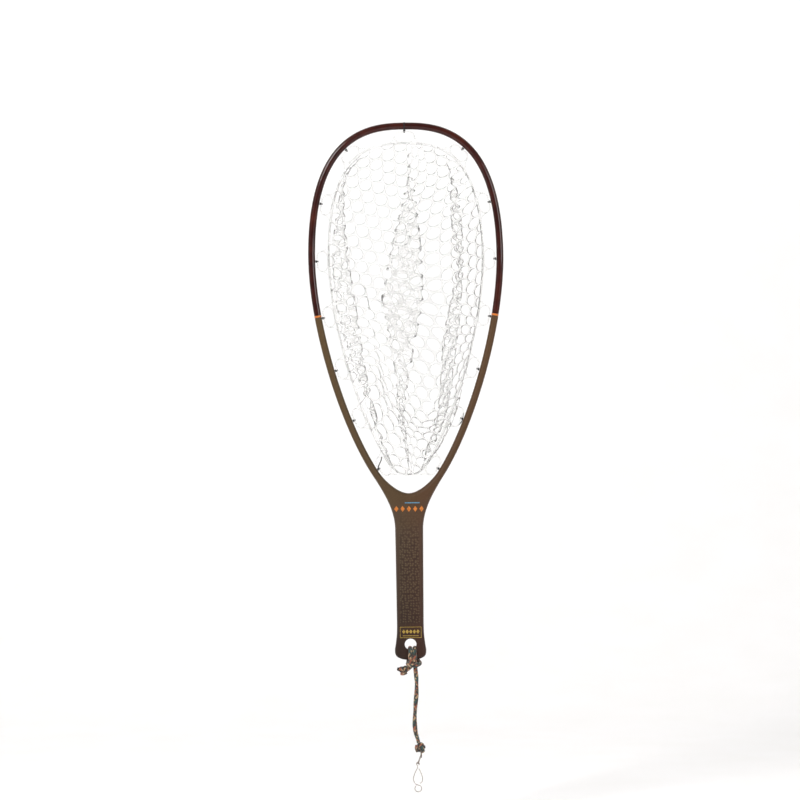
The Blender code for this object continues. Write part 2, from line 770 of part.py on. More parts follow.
def clip_gate(finish):
    """The right leg of the pear, which springs inward and ends in a small hook."""
    half = CLIP_HALF_WIDTH
    length = CLIP_LENGTH
    hinge = Vector((GATE_TOP_OFFSET, 0, -GATE_TOP_DROP))
    leg = smooth(
        [
            hinge,
            (half * 0.62, 0, -length * 0.40),
            (half * 0.98, 0, -length * 0.63),
            (half * 0.96, 0, -length * 0.80),
            (half * 0.66, 0, -length * 0.895),
            (half * 0.36, 0, -length * 0.90),
        ],
        0.0013,
    )
    made = wire("clip_gate", [p - hinge for p in leg], CLIP_WIRE, finish, 1)
    made.location = clip_pivot() + hinge


def main():
    for thing in list(bpy.data.objects):
        bpy.data.objects.remove(thing)
    gloss = material("bow_lacquer", (0.045, 0.012, 0.010), 0.22)
    moulded = material("handle_composite", (0.095, 0.062, 0.036), 0.55)
    orange = material("collar_orange", (0.55, 0.16, 0.04), 0.35)
    core = material("spigot_fibre", (0.03, 0.03, 0.032), 0.6)
    thread = material("tie_thread", (0.012, 0.012, 0.013), 0.8)
    rubber = material("bag_rubber", (0.78, 0.78, 0.76), 0.3)
    cord = material("lanyard_cord", (0.09, 0.075, 0.055), 0.85)
    steel = material("clip_steel", (0.60, 0.58, 0.56), 0.25, 1.0)
    hoop_bow(gloss)
    collar(1, "collar_right", orange)
    collar(-1, "collar_left", orange)
    spigot(1, "spigot_right", core)
    spigot(-1, "spigot_left", core)
    handle_yoke(moulded)
    net_ties(thread)
    net_bag(rubber)
    lanyard_hitch(cord)
    lanyard_tail_knot(cord)
    lanyard_cord(cord)
    lanyard_end_knot(cord)
    split_ring(steel)
    clip_body(steel)
    clip_gate(steel)


main()
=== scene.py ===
"""A hand landing net: lacquered bow, moulded handle, clear rubber bag and a knotted lanyard."""

import math

import bmesh
import bpy
import numpy as np
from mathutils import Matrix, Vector
from mathutils.bvhtree import BVHTree


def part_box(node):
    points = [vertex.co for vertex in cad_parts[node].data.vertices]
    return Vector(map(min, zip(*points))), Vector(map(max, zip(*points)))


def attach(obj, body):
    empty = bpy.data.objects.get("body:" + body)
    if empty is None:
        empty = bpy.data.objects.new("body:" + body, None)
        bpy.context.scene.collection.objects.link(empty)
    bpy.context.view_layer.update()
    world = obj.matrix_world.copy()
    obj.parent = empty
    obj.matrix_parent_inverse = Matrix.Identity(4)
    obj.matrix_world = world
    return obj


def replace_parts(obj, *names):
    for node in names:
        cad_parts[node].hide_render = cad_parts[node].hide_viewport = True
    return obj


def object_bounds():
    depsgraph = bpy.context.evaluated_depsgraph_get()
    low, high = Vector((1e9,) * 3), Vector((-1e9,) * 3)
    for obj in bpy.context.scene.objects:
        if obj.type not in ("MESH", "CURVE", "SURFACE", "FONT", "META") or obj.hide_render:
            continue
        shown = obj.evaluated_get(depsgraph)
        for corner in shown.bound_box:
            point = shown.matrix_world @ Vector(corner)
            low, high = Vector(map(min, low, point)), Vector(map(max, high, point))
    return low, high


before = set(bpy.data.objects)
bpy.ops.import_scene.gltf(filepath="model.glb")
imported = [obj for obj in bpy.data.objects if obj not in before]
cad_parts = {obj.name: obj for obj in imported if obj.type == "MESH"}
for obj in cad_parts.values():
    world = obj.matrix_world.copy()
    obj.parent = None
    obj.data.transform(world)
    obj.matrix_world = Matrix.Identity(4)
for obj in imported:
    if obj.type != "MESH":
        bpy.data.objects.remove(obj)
cad_low, cad_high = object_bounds()


# ------------------------ studio
# A product table: one sheet of white paper runs level under the net and sweeps up behind it. The
# net is held upright a hand's breadth above it, lit by two large softboxes and white walls, and
# looked at straight from the front, four metres away, with the camera a shade off level.

CAMERA_AWAY = 4.0
VIEW_WIDTH = 1.08
SENSOR_MM = 36.0
CAMERA_ROLL = math.radians(0.71)
CAMERA_ASIDE = -0.0102
CAMERA_HEIGHT = 0.24975
PAPER_BELOW_NET = 0.039
PAPER_LEVEL_BEHIND = 1.0
PAPER_REACH = 6.0
SWEEP_RADIUS = 1.6
SWEEP_STEPS = 24


def linear(colour):
    """An sRGB hex colour as the linear colour, opaque, that a shader takes."""
    channels = [int(colour[i : i + 2], 16) / 255 for i in (1, 3, 5)]
    light = [c / 12.92 if c < 0.04045 else ((c + 0.055) / 1.055) ** 2.4 for c in channels]
    return [*light, 1.0]


def feed(node, sockets):
    """Gives a node's inputs their values, or links them to the outputs of other nodes."""
    for name, value in sockets.items():
        if isinstance(value, bpy.types.NodeSocket):
            node.id_data.links.new(value, node.inputs[name])
        else:
            node.inputs[name].default_value = value


def add(tree, kind, sockets=None, stops=None, output=None, **settings):
    """Adds a node and returns an output, its first in use if none is named. Stops fill a ramp."""
    made = tree.nodes.new(f"ShaderNode{kind}")
    for name, value in settings.items():
        setattr(made, name, value)
    feed(made, sockets or {})
    if stops:
        ramp = made.color_ramp
        while len(ramp.elements) < len(stops):
            ramp.elements.new(1.0)
        for element, (position, colour) in zip(ramp.elements, stops):
            element.position = position
            element.color = linear(colour)
    return made.outputs[output] if output else next(s for s in made.outputs if s.enabled)


def made_object(name, work):
    """A smooth-shaded object from a bmesh, which is used up."""
    made = bpy.data.objects.new(name, bpy.data.meshes.new(name))
    work.to_mesh(made.data)
    work.free()
    made.data.polygons.foreach_set("use_smooth", [True] * len(made.data.polygons))
    bpy.context.scene.collection.objects.link(made)
    return made


def surface(name, sockets):
    """A new material, its tree, its shader with what is the same all over, and the place on it."""
    made = bpy.data.materials.new(name)
    made.use_nodes = True
    shader = made.node_tree.nodes["Principled BSDF"]
    feed(shader, sockets)
    place = add(made.node_tree, "TexCoord", output="Object")
    return made, made.node_tree, shader, place


middle_x = (cad_low.x + cad_high.x) / 2
camera = bpy.data.objects.new("camera", bpy.data.cameras.new("camera"))
bpy.context.scene.collection.objects.link(camera)
camera.data.sensor_width = SENSOR_MM
camera.data.lens = SENSOR_MM * CAMERA_AWAY / VIEW_WIDTH
camera.location = (middle_x + CAMERA_ASIDE, -CAMERA_AWAY, CAMERA_HEIGHT)
camera.rotation_euler = (math.radians(90), CAMERA_ROLL, 0)
bpy.context.scene.camera = camera

paper_z = cad_low.z - PAPER_BELOW_NET
profile = [(-PAPER_REACH, 0.0), (PAPER_LEVEL_BEHIND, 0.0)]
for step in range(1, SWEEP_STEPS + 1):
    turn = math.pi / 2 * step / SWEEP_STEPS
    profile.append(
        (PAPER_LEVEL_BEHIND + SWEEP_RADIUS * math.sin(turn), SWEEP_RADIUS * (1 - math.cos(turn)))
    )
profile.append((PAPER_LEVEL_BEHIND + SWEEP_RADIUS, PAPER_REACH))
work = bmesh.new()
left, right = (
    [work.verts.new((x, y, paper_z + z)) for y, z in profile] for x in (-PAPER_REACH, PAPER_REACH)
)
for k in range(len(profile) - 1):
    work.faces.new((left[k], right[k], right[k + 1], left[k + 1]))
paper = made_object("studio_paper", work)

# Matt white seamless paper: a faint mottle in tone, no gloss.
paper_stock, tree, shader, place = surface("white_seamless_paper", {"Roughness": 0.9})
mottle = add(tree, "TexNoise", {"Vector": place, "Scale": 9.0, "Detail": 3.0})
tone = add(tree, "ValToRGB", {0: mottle}, [(0.3, "#f5f4f3"), (0.7, "#f7f6f6")])
feed(shader, {"Base Color": tone})
paper.data.materials.append(paper_stock)

world = bpy.data.worlds.new("white_room")
bpy.context.scene.world = world
world.use_nodes = True
tree = world.node_tree
whole = add(tree, "TexCoord", output="Generated")
level = add(tree, "SeparateXYZ", {0: whole}, output="Y")
behind = add(
    tree, "MapRange", {0: level, 1: -0.85, 2: -0.05, 3: 0.10, 4: 0.57},
    interpolation_type="SMOOTHSTEP",
)
feed(tree.nodes["Background"], {"Color": linear("#fdfcfb"), "Strength": behind})


def softbox(name, place, aim, width, height, watts):
    """A large rectangular softbox that faces a point."""
    light = bpy.data.lights.new(name, "AREA")
    light.shape = "RECTANGLE"
    light.size = width
    light.size_y = height
    light.energy = watts
    lamp = bpy.data.objects.new(name, light)
    lamp.location = place
    lamp.rotation_euler = (Vector(aim) - Vector(place)).to_track_quat("-Z", "Y").to_euler()
    bpy.context.scene.collection.objects.link(lamp)


softbox("key_softbox", (-2.2, -2.6, 2.2), (0, 0, 0.3), 1.2, 1.2, 130.0)
softbox("fill_softbox", (2.6, -2.4, 1.2), (0, 0, 0.2), 1.4, 1.4, 66.0)
softbox("paper_wash", (0, 0.9, 2.4), (0, 2.4, 0.5), 3.4, 1.2, 17.0)
bpy.context.scene.view_settings.view_transform = "Standard"


# ------------------------ lanyard cord
# A 5.6 mm braided polyester cord in dark brown, teal, rust and tan yarns. It is hitched through the
# hole in the handle and round its lip, the short tail is stopped with an overhand knot, and the
# long part hangs down to a knot that holds the split ring. Both cut ends are melted shut.

CORD_DIAMETER = 0.0056
CORD_STEP = 0.0007
CORD_SIDES = 20
CORD_ROUTE = [
    (0.0062, -0.0015, -0.1142), (0.0074, -0.0012, -0.1283), (0.0072, -0.0008, -0.1445),
    (0.0056, -0.0004, -0.1627), (0.0043, -0.0001, -0.1823), (0.0051, 0.0, -0.1971),
    (0.0080, 0.0, -0.2085), (0.0092, 0.0, -0.2134),
]
HITCH_ROUTE = [
    (-0.0080, -0.0020, -0.1148), (-0.0035, -0.0012, -0.1128), (0.0000, -0.0020, -0.1092),
    (0.0004, -0.0066, -0.1050), (-0.0004, -0.0094, -0.1005), (-0.0006, -0.0101, -0.0955),
    (-0.0006, -0.0094, -0.0902), (-0.0006, -0.0056, -0.0862), (-0.0008, 0.0, -0.0850),
    (-0.0010, 0.0056, -0.0862), (-0.0016, 0.0094, -0.0902), (-0.0022, 0.0101, -0.0955),
    (-0.0028, 0.0092, -0.1010), (-0.0034, 0.0054, -0.1056), (-0.0040, -0.0010, -0.1066),
    (-0.0026, -0.0074, -0.1068), (0.0022, -0.0096, -0.1080), (0.0074, -0.0088, -0.1080),
    (0.0113, -0.0054, -0.1066), (0.0122, -0.0002, -0.1056), (0.0112, 0.0050, -0.1044),
    (0.0090, 0.0092, -0.1008), (0.0076, 0.0101, -0.0955), (0.0066, 0.0094, -0.0902),
    (0.0058, 0.0056, -0.0862), (0.0054, 0.0, -0.0850), (0.0052, -0.0056, -0.0862),
    (0.0052, -0.0094, -0.0902), (0.0054, -0.0101, -0.0955), (0.0052, -0.0094, -0.1005),
    (0.0054, -0.0060, -0.1048), (0.0060, -0.0024, -0.1092),
]


def through(a, b, c, d, t):
    """The point a share t of the way from b to c, on the smooth curve through all four."""
    curve = (2 * b) + (c - a) * t + (2 * a - 5 * b + 4 * c - d) * t**2
    return (curve + (3 * b - a - 3 * c + d) * t**3) / 2


def run_along(line):
    """The length along a line at each of its points."""
    return np.concatenate([[0], np.cumsum(np.linalg.norm(np.diff(line, axis=0), axis=1))])


def points_at(lengths, run, line):
    """The points of a line at given lengths along it."""
    return np.column_stack([np.interp(lengths, run, line[:, k]) for k in range(3)])


def smooth_line(points, step):
    """Evenly spaced points, about step apart, on a smooth curve through the given points."""
    given = np.array([tuple(p) for p in points], float)
    padded = np.vstack([2 * given[0] - given[1], given, 2 * given[-1] - given[-2]])
    dense = []
    for a, b, c, d in zip(padded, padded[1:], padded[2:], padded[3:]):
        dense += [through(a, b, c, d, t) for t in np.arange(0, 1, 1 / 24)]
    dense = np.array([*dense, given[-1]])
    run = run_along(dense)
    return points_at(np.linspace(0, run[-1], max(2, round(run[-1] / step)) + 1), run, dense)


def shown_mesh(name, points, faces, uvs=None, sharp=None):
    """An object from points and faces, smooth shaded. uvs give each face corner's place."""
    mesh = bpy.data.meshes.new("listed")
    mesh.from_pydata([tuple(p) for p in points], [], faces)
    if uvs is not None:
        layer = mesh.uv_layers.new(name="run_and_round")
        layer.data.foreach_set("uv", np.array(uvs, np.float32).ravel())
    work = bmesh.new()
    work.from_mesh(mesh)
    bpy.data.meshes.remove(mesh)
    bmesh.ops.recalc_face_normals(work, faces=work.faces)
    made = made_object(name, work)
    if sharp:
        made.data.set_sharp_from_angle(angle=math.radians(sharp))
    return made


def ring_faces(low, high, sides):
    """Faces from one ring of points to the next, each ring given by its first point's number."""
    pairs = [(j, (j + 1) % sides) for j in range(sides)]
    return [(low + j, low + n, high + n, high + j) for j, n in pairs]


def tube(line, width, depth, sides, twist=0.0, start=0.0, closed=False):
    """Points, faces and UVs of a tube round a line: its length in mm one way, the turn the other.

    Width and depth are half sizes, each one number or one for each point of the line.
    """
    count = len(line)
    wide = np.broadcast_to(width, count)
    deep = np.broadcast_to(depth, count)
    turned = np.broadcast_to(twist, count)
    if closed:
        along = np.roll(line, -1, axis=0) - np.roll(line, 1, axis=0)
    else:
        along = np.gradient(line, axis=0)
    along /= np.linalg.norm(along, axis=1)[:, None]
    side = np.array([0.0, 1.0, 0.0])
    if abs(along[0][1]) > 0.9:
        side = np.array([1.0, 0.0, 0.0])
    angles = 2 * np.pi * np.arange(sides) / sides
    points = []
    for k in range(count):
        side = side - along[k] * (side @ along[k])
        side = side / np.linalg.norm(side)
        other = np.cross(along[k], side)
        first = other * math.cos(turned[k]) + side * math.sin(turned[k])
        second = side * math.cos(turned[k]) - other * math.sin(turned[k])
        ring = np.outer(np.cos(angles) * wide[k], first)
        points.extend(line[k] + (ring + np.outer(np.sin(angles) * deep[k], second)))
    run = (run_along(line) * 1000 + start).tolist()
    if closed:
        run.append(run[-1] + float(np.linalg.norm(line[0] - line[-1])) * 1000)
    faces, uvs = [], []
    for k in range(count if closed else count - 1):
        faces += ring_faces(k * sides, (k + 1) % count * sides, sides)
        for j in range(sides):
            near, far = j / sides, (j + 1) / sides
            uvs += [(run[k], near), (run[k], far), (run[k + 1], far), (run[k + 1], near)]
    if not closed:
        for start_at, place in ((0, run[0]), ((count - 1) * sides, run[-1])):
            faces.append(tuple(range(start_at, start_at + sides)))
            uvs += [(place, j / sides) for j in range(sides)]
    return points, faces, uvs


def joined(parts):
    """Several tubes as the points, faces and UVs of one piece."""
    points, faces, uvs = [], [], []
    for part_points, part_faces, part_uvs in parts:
        shift = len(points)
        points += list(part_points)
        faces += [tuple(i + shift for i in face) for face in part_faces]
        uvs += list(part_uvs)
    return points, faces, uvs


# Round braid of textured polyester yarn: matt, with colours that wind round it in short lozenges.
# Its real yarns are 0.3 mm, which is too fine to show, so each lozenge stands for four of them.
YARNS_ROUND = 6.0
LOZENGE_MM = 3.3
braid, tree, shader, place = surface(
    "braided_polyester_cord", {"Roughness": 0.82, "Sheen Weight": 0.25, "Sheen Roughness": 0.5}
)
uv = add(tree, "UVMap", uv_map="run_and_round")
parts = add(tree, "SeparateXYZ", {0: uv}).node.outputs
run = add(tree, "Math", {0: parts["X"], 1: LOZENGE_MM}, operation="DIVIDE")
turn = add(tree, "Math", {0: parts["Y"], 1: YARNS_ROUND}, operation="MULTIPLY")
right = add(tree, "Math", {0: turn, 1: run}, operation="ADD")
left = add(tree, "Math", {0: turn, 1: run}, operation="SUBTRACT")
families = []
heights = []
for lay, stops in (
    (right, ["#241d1a", "#9c8363", "#263f3b", "#231b19", "#8a4b32", "#5c4b3a"]),
    (left, ["#1e2926", "#251e1b", "#9f8564", "#84462f", "#241e1c", "#2a443f"]),
):
    yarn = add(tree, "Math", {0: lay}, operation="FLOOR")
    which = add(tree, "Math", {0: yarn, 1: YARNS_ROUND}, operation="FLOORED_MODULO")
    share = add(tree, "Math", {0: which, 1: 0.5}, operation="ADD")
    share = add(tree, "Math", {0: share, 1: YARNS_ROUND}, operation="DIVIDE")
    ramp = add(tree, "ValToRGB", {0: share}, [(k / 6, c) for k, c in enumerate(stops)])
    ramp.node.color_ramp.interpolation = "CONSTANT"
    families.append((yarn, ramp))
    part = add(tree, "Math", {0: lay}, operation="FRACT")
    wave = add(tree, "Math", {0: part, 1: math.pi}, operation="MULTIPLY")
    heights.append(add(tree, "Math", {0: wave}, operation="SINE"))
over = add(tree, "Math", {0: families[0][0], 1: families[1][0]}, operation="ADD")
over = add(tree, "Math", {0: over, 1: 2.0}, operation="FLOORED_MODULO")
colour = add(tree, "Mix", {0: over, 6: families[0][1], 7: families[1][1]}, data_type="RGBA")
dust = add(tree, "TexNoise", {"Vector": place, "Scale": 900.0, "Detail": 2.0})
shade = add(tree, "MapRange", {0: dust, 3: 0.72, 4: 1.28})
tinted = add(tree, "Mix", {0: 1.0, 6: colour, 7: shade}, data_type="RGBA", blend_type="MULTIPLY")
height = add(tree, "Math", {0: heights[0], 1: heights[1]}, operation="MULTIPLY")
grain = add(tree, "Bump", {"Height": height, "Strength": 0.6, "Distance": 0.0007})
feed(shader, {"Base Color": tinted, "Normal": grain})

# Cord ends melted with a flame: the yarns fuse to a hard, nearly black bead with a dull shine.
melted, tree, shader, place = surface("melted_polyester_bead", {"Base Color": linear("#1d1715")})
lumps = add(tree, "TexNoise", {"Vector": place, "Scale": 700.0, "Detail": 3.0})
shine = add(tree, "MapRange", {0: lumps, 3: 0.3, 4: 0.65})
grain = add(tree, "Bump", {"Height": lumps, "Strength": 0.7, "Distance": 0.0006})
feed(shader, {"Roughness": shine, "Normal": grain})


def fitted(piece, material):
    """Gives a piece its material and fixes it to the frame."""
    piece.data.materials.append(material)
    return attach(piece, "frame")


def bead(name, centre, size):
    """A lumpy melted end, about as round as the cord."""
    work = bmesh.new()
    bmesh.ops.create_icosphere(work, subdivisions=3, radius=1.0)
    for vertex in work.verts:
        x, y, z = vertex.co
        lump = 1 + 0.10 * math.sin(5 * x + 2 * y) * math.cos(4 * z - x) + 0.07 * math.sin(9 * y + z)
        vertex.co = Vector((x * size[0], y * size[1], z * size[2])) * lump + Vector(centre)
    return fitted(made_object(name, work), melted)


def cord_piece(name, line, width, depth, twist=0.0, start=0.0):
    made = shown_mesh(name, *tube(line, width, depth, CORD_SIDES, twist, start))
    return fitted(made, braid)


half = CORD_DIAMETER / 2
whole = smooth_line(HITCH_ROUTE + CORD_ROUTE, CORD_STEP)
hitch_end = int(np.argmin(np.linalg.norm(whole - np.array(CORD_ROUTE[0]), axis=1)))
hitch_line, hanging_line = whole[: hitch_end + 1], whole[hitch_end:]
hitch_run = float(run_along(hitch_line)[-1]) * 1000
hitch = cord_piece("lanyard_hitch_cord", hitch_line, half * 1.02, half * 0.96)
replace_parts(hitch, "lanyard_hitch")

# The hanging part is a little flat and turns over twice on its way down.
hanging_share = np.linspace(0, 1, len(hanging_line))
hanging_turn = 2.6 * np.pi * hanging_share * np.minimum(1, hanging_share * 6)
flat = np.minimum(1, hanging_share * 8)
hanging = cord_piece(
    "lanyard_hanging_cord", hanging_line,
    half * (1.02 + 0.10 * flat), half * (0.96 - 0.08 * flat), hanging_turn, hitch_run,
)
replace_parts(hanging, "lanyard_cord")


def overhand(centre, axis, up, length, girth, steps=150):
    """The line of a tight overhand knot whose cord comes in and goes out along its axis."""
    axis, up = Vector(axis).normalized(), Vector(up).normalized()
    out = axis.cross(up)
    line = []
    for k in range(steps + 1):
        t = -math.pi * 1.12 + 2.24 * math.pi * k / steps
        ease_out = max(0.0, abs(t) / math.pi - 0.86)
        x = (math.sin(t) + 2 * math.sin(2 * t)) / 3
        y = (math.cos(t) - 2 * math.cos(2 * t)) / 3
        z = -math.sin(3 * t) / 2.2
        place = Vector(centre) + axis * (x * length) + up * (y * girth) + out * (z * girth)
        line.append(place + axis * (math.copysign(ease_out, t) * length))
    return smooth_line(line[::3], CORD_STEP)


tail_low, tail_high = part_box("lanyard_tail_knot")
tail_middle = (tail_low + tail_high) / 2
tail_line = overhand(tail_middle, (1, 0, 0.12), (0, 0.25, 1), 0.0054, 0.0045)
tail = cord_piece("lanyard_tail_stopper", tail_line, half * 0.92, half * 0.86)
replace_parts(tail, "lanyard_tail_knot")
tail_bead_at = tail_middle + Vector((-0.0072, -0.0010, 0.0014))
tail_bead = bead("lanyard_tail_bead", tail_bead_at, (0.0019, 0.0022, 0.0024))

knot_low, knot_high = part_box("lanyard_end_knot")
knot_middle = Vector((0.0112, 0.0, knot_high.z - 0.0064))
knot_line = overhand(knot_middle, (0.25, 0, -1), (1, -0.3, 0.2), 0.0056, 0.0047)
knot = cord_piece("lanyard_foot_knot", knot_line, half * 0.98, half * 0.9)
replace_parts(knot, "lanyard_end_knot")
knot_bead_at = knot_middle + Vector((0.0052, -0.0012, 0.0012))
knot_bead = bead("lanyard_foot_bead", knot_bead_at, (0.0020, 0.0024, 0.0026))

# The split ring hangs in a loop of the cord's own core, drawn out of the knot's foot.
eye_turn = np.linspace(0, 2 * np.pi, 49)[:-1]
eye_middle = np.array([0.0126, 0.0, knot_low.z + 0.0042])
eye_line = eye_middle + 0.0032 * np.column_stack([0 * eye_turn, np.sin(eye_turn), np.cos(eye_turn)])
eye = shown_mesh("lanyard_ring_loop", *tube(eye_line, 0.0009, 0.0009, 14, closed=True))
fitted(eye, braid)

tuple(CORD_ROUTE[0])
[tuple(p) for p in hanging_line]


# ------------------------ bow
# A hollow fibreglass tube, 9.5 mm across, bent to the head's outline, wrapped smooth and sprayed
# with a dark maroon lacquer. Its two ends are glued over plugs in the handle's arms.

BOW_RADIUS = 0.00475
FORK_Z = 0.1238
WIDEST_ABOVE_FORK = 0.320
CROWN_REACH = 0.0395
SHOULDER_REACH = 0.174
FLANK_REACH = 0.0975
ARM_REACH = 0.076
ARM_END_HALF_GAP = 0.0438
ARM_END_ABOVE_FORK = 0.0262
ARM_LEAN = math.radians(33.0)
BAND_GAP = 0.0003
HEAD_STEPS = 300


def bezier(a, b, c, d, count):
    """count + 1 points on a cubic curve with these four controls."""
    t = np.linspace(0, 1, count + 1)[:, None]
    a, b, c, d = (np.array(tuple(p), float) for p in (a, b, c, d))
    return a * (1 - t) ** 3 + b * 3 * t * (1 - t) ** 2 + c * 3 * t * t * (1 - t) + d * t**3


bow_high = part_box("hoop_bow")[1]
crown = Vector((0, 0, bow_high.z - BOW_RADIUS))
widest = Vector((bow_high.x - BOW_RADIUS, 0, FORK_Z + WIDEST_ABOVE_FORK))
arm_end = Vector((ARM_END_HALF_GAP, 0, FORK_Z + ARM_END_ABOVE_FORK))
arm_lean = Vector((math.sin(ARM_LEAN), 0, math.cos(ARM_LEAN)))
shoulder = bezier(
    crown, crown + Vector((CROWN_REACH, 0, 0)), widest + Vector((0, 0, SHOULDER_REACH)), widest,
    HEAD_STEPS,
)
flank = bezier(
    widest, widest - Vector((0, 0, FLANK_REACH)), arm_end + arm_lean * ARM_REACH, arm_end,
    HEAD_STEPS,
)
head_line = np.vstack([shoulder[:-1], flank])
head_run = run_along(head_line)
HEAD_HALF = float(head_run[-1])


def on_head(run):
    """The frame's centre and its outward direction at a length from the crown, left if negative."""
    low, high = max(abs(run) - 0.001, 0), min(abs(run) + 0.001, HEAD_HALF)
    near, centre, far = points_at([low, abs(run), high], head_run, head_line)
    along = far - near
    along /= np.linalg.norm(along)
    outward = np.array([-along[2], 0.0, along[0]])
    if run < 0:
        centre[0], outward[0] = -centre[0], -outward[0]
    return Vector(centre), Vector(outward)


def run_of(node):
    """How far from the crown a node's middle sits, along the head."""
    low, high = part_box(node)
    middle = (low + high) / 2
    flat = np.array([abs(middle.x), 0.0, middle.z])
    return float(head_run[int(np.argmin(np.linalg.norm(head_line - flat, axis=1)))])


def head_tube(start, end, step, radius, sides=28):
    runs = np.linspace(start, end, max(2, round(abs(end - start) / step)) + 1)
    line = np.array([on_head(s)[0] for s in runs])
    return tube(line, radius, radius, sides)


BAND_RUN = run_of("collar_right")
BAND_HEIGHT = 0.0024
bow_end = BAND_RUN - BAND_HEIGHT / 2 - BAND_GAP
bow = shown_mesh("lacquered_bow", *head_tube(-bow_end, bow_end, 0.004, BOW_RADIUS), 50)
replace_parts(bow, "hoop_bow")

# Sprayed lacquer over wrapped fibreglass: deep maroon under a hard clear coat that draws out one
# long narrow highlight, with a slight orange peel and the wrap's faint bands showing through.
lacquer, tree, shader, place = surface(
    "sprayed_maroon_lacquer",
    {"Specular IOR Level": 0.11, "Coat Weight": 0.33, "Coat Roughness": 0.06, "Coat IOR": 1.5},
)
uv = add(tree, "UVMap", uv_map="run_and_round")
cloud = add(tree, "TexNoise", {"Vector": place, "Scale": 35.0, "Detail": 4.0})
tone = add(tree, "ValToRGB", {0: cloud}, [(0.25, "#210807"), (0.5, "#30100c"), (0.75, "#421a11")])
lap = add(
    tree, "TexWave", {"Vector": uv, "Scale": 0.045, "Distortion": 1.2, "Detail": 2.0},
    wave_type="BANDS", bands_direction="DIAGONAL", output="Fac",
)
bands = add(tree, "MapRange", {0: lap, 3: 0.9, 4: 1.12})
tinted = add(tree, "Mix", {0: 1.0, 6: tone, 7: bands}, data_type="RGBA", blend_type="MULTIPLY")
rub = add(tree, "TexNoise", {"Vector": place, "Scale": 120.0, "Detail": 5.0})
dull = add(tree, "MapRange", {0: rub, 3: 0.24, 4: 0.42})
peel = add(tree, "TexNoise", {"Vector": place, "Scale": 700.0, "Detail": 2.0})
grain = add(tree, "Bump", {"Height": peel, "Strength": 0.12, "Distance": 0.0004})
feed(shader, {"Base Color": tinted, "Roughness": dull, "Normal": grain})
fitted(bow, lacquer)


# ------------------------ bands and plugs
# An orange heat-shrunk band covers each joint of bow and arm. The glass-fibre plug inside the
# joint hardly shows.


def grained(name, sockets, scale, detail, tones, dull, bump, depth):
    """A material whose one fine grain varies its tone, dents it and, if asked, varies its gloss."""
    made, tree, shader, place = surface(name, sockets)
    grain = add(tree, "TexNoise", {"Vector": place, "Scale": scale, "Detail": detail})
    tone = add(tree, "ValToRGB", {0: grain}, tones)
    dents = add(tree, "Bump", {"Height": grain, "Strength": bump, "Distance": depth})
    feed(shader, {"Base Color": tone, "Normal": dents})
    if dull:
        feed(shader, {"Roughness": add(tree, "MapRange", {0: grain, 3: dull[0], 4: dull[1]})})
    return made


# Heat-shrunk vinyl: satin, scuffed in spots of 2 mm.
shrink = grained(
    "orange_shrink_band", {"Specular IOR Level": 0.3}, 500.0, 4.0,
    [(0.3, "#b05a1c"), (0.7, "#d27a32")], (0.35, 0.6), 0.2, 0.0003,
)

for side, word in ((1, "right"), (-1, "left")):
    runs = (side * (BAND_RUN - BAND_HEIGHT / 2), side * (BAND_RUN + BAND_HEIGHT / 2))
    band = shown_mesh(f"joint_band_{word}", *head_tube(*runs, 0.0006, BOW_RADIUS + 0.00015), 50)
    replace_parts(fitted(band, shrink), f"collar_{word}")

# Pultruded glass fibre: pale grey-green, with fine lines along the rod.
rod = grained(
    "pultruded_glass_rod", {"Roughness": 0.5}, 1500.0, 2.0,
    [(0.3, "#6d6f63"), (0.7, "#93958a")], None, 0.3, 0.0002,
)
for word in ("left", "right"):
    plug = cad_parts[f"spigot_{word}"]
    plug.data.materials.clear()
    plug.data.materials.append(rod)


# ------------------------ handle
# One piece with its throat and two arms, moulded in fibre-filled composite. The grip's face is
# pebbled like hide between smooth rounded edges, and the lower end is bored for the lanyard.

HANDLE_END_Z = -0.102
NECK_Z = 0.074
NECK_HALF = 0.0189
GRIP_HALF = 0.0182
GRIP_DEPTH = 0.018
END_HALF = 0.0212
END_DEPTH = 0.015
END_CROWN = 0.0065
FLARE_LENGTH = 0.040
THROAT_DEPTH = 0.013
EDGE_ROUND = 0.0055
FORK_ROUND = 0.014
HOLE_Z = -0.080
HOLE_RADIUS = 0.0080
HOLE_CHAMFER = 0.0007
HOLE_SIDES = 64
ARM_STEPS = 60
THROAT_STEPS = 40
FORK_STEPS = 15
EDGE_STEPS = 14


def ease(share):
    share = max(0.0, min(1.0, share))
    return share * share * (3 - 2 * share)


def edge_directions(line, first, last):
    """Outward directions of an edge that runs down the right side, with its two ends given."""
    along = line[2:] - line[:-2]
    along /= np.linalg.norm(along, axis=1)[:, None]
    between = np.column_stack([-along[:, 2], 0 * along[:, 0], along[:, 0]])
    return np.vstack([[tuple(first)], between, [last]])


def edge_arc(point, direction, rounding, depth):
    """The rounded side of the moulding, from its front face round to its back."""
    turn = np.linspace(0, math.pi, EDGE_STEPS + 1)[:, None]
    core = np.array(tuple(point)) - np.array(tuple(direction)) * rounding
    out = np.array(tuple(direction)) * rounding * np.sin(turn)
    return core + out - np.array([0, depth / 2, 0]) * np.cos(turn)


def arm_loop(outer, outer_way, inner, inner_way, rounding, depth):
    """One loop of points round an arm, out to its two edges."""
    outside = edge_arc(outer, outer_way, rounding, depth)
    return np.vstack([outside, edge_arc(inner, inner_way, rounding, depth)[::-1]])


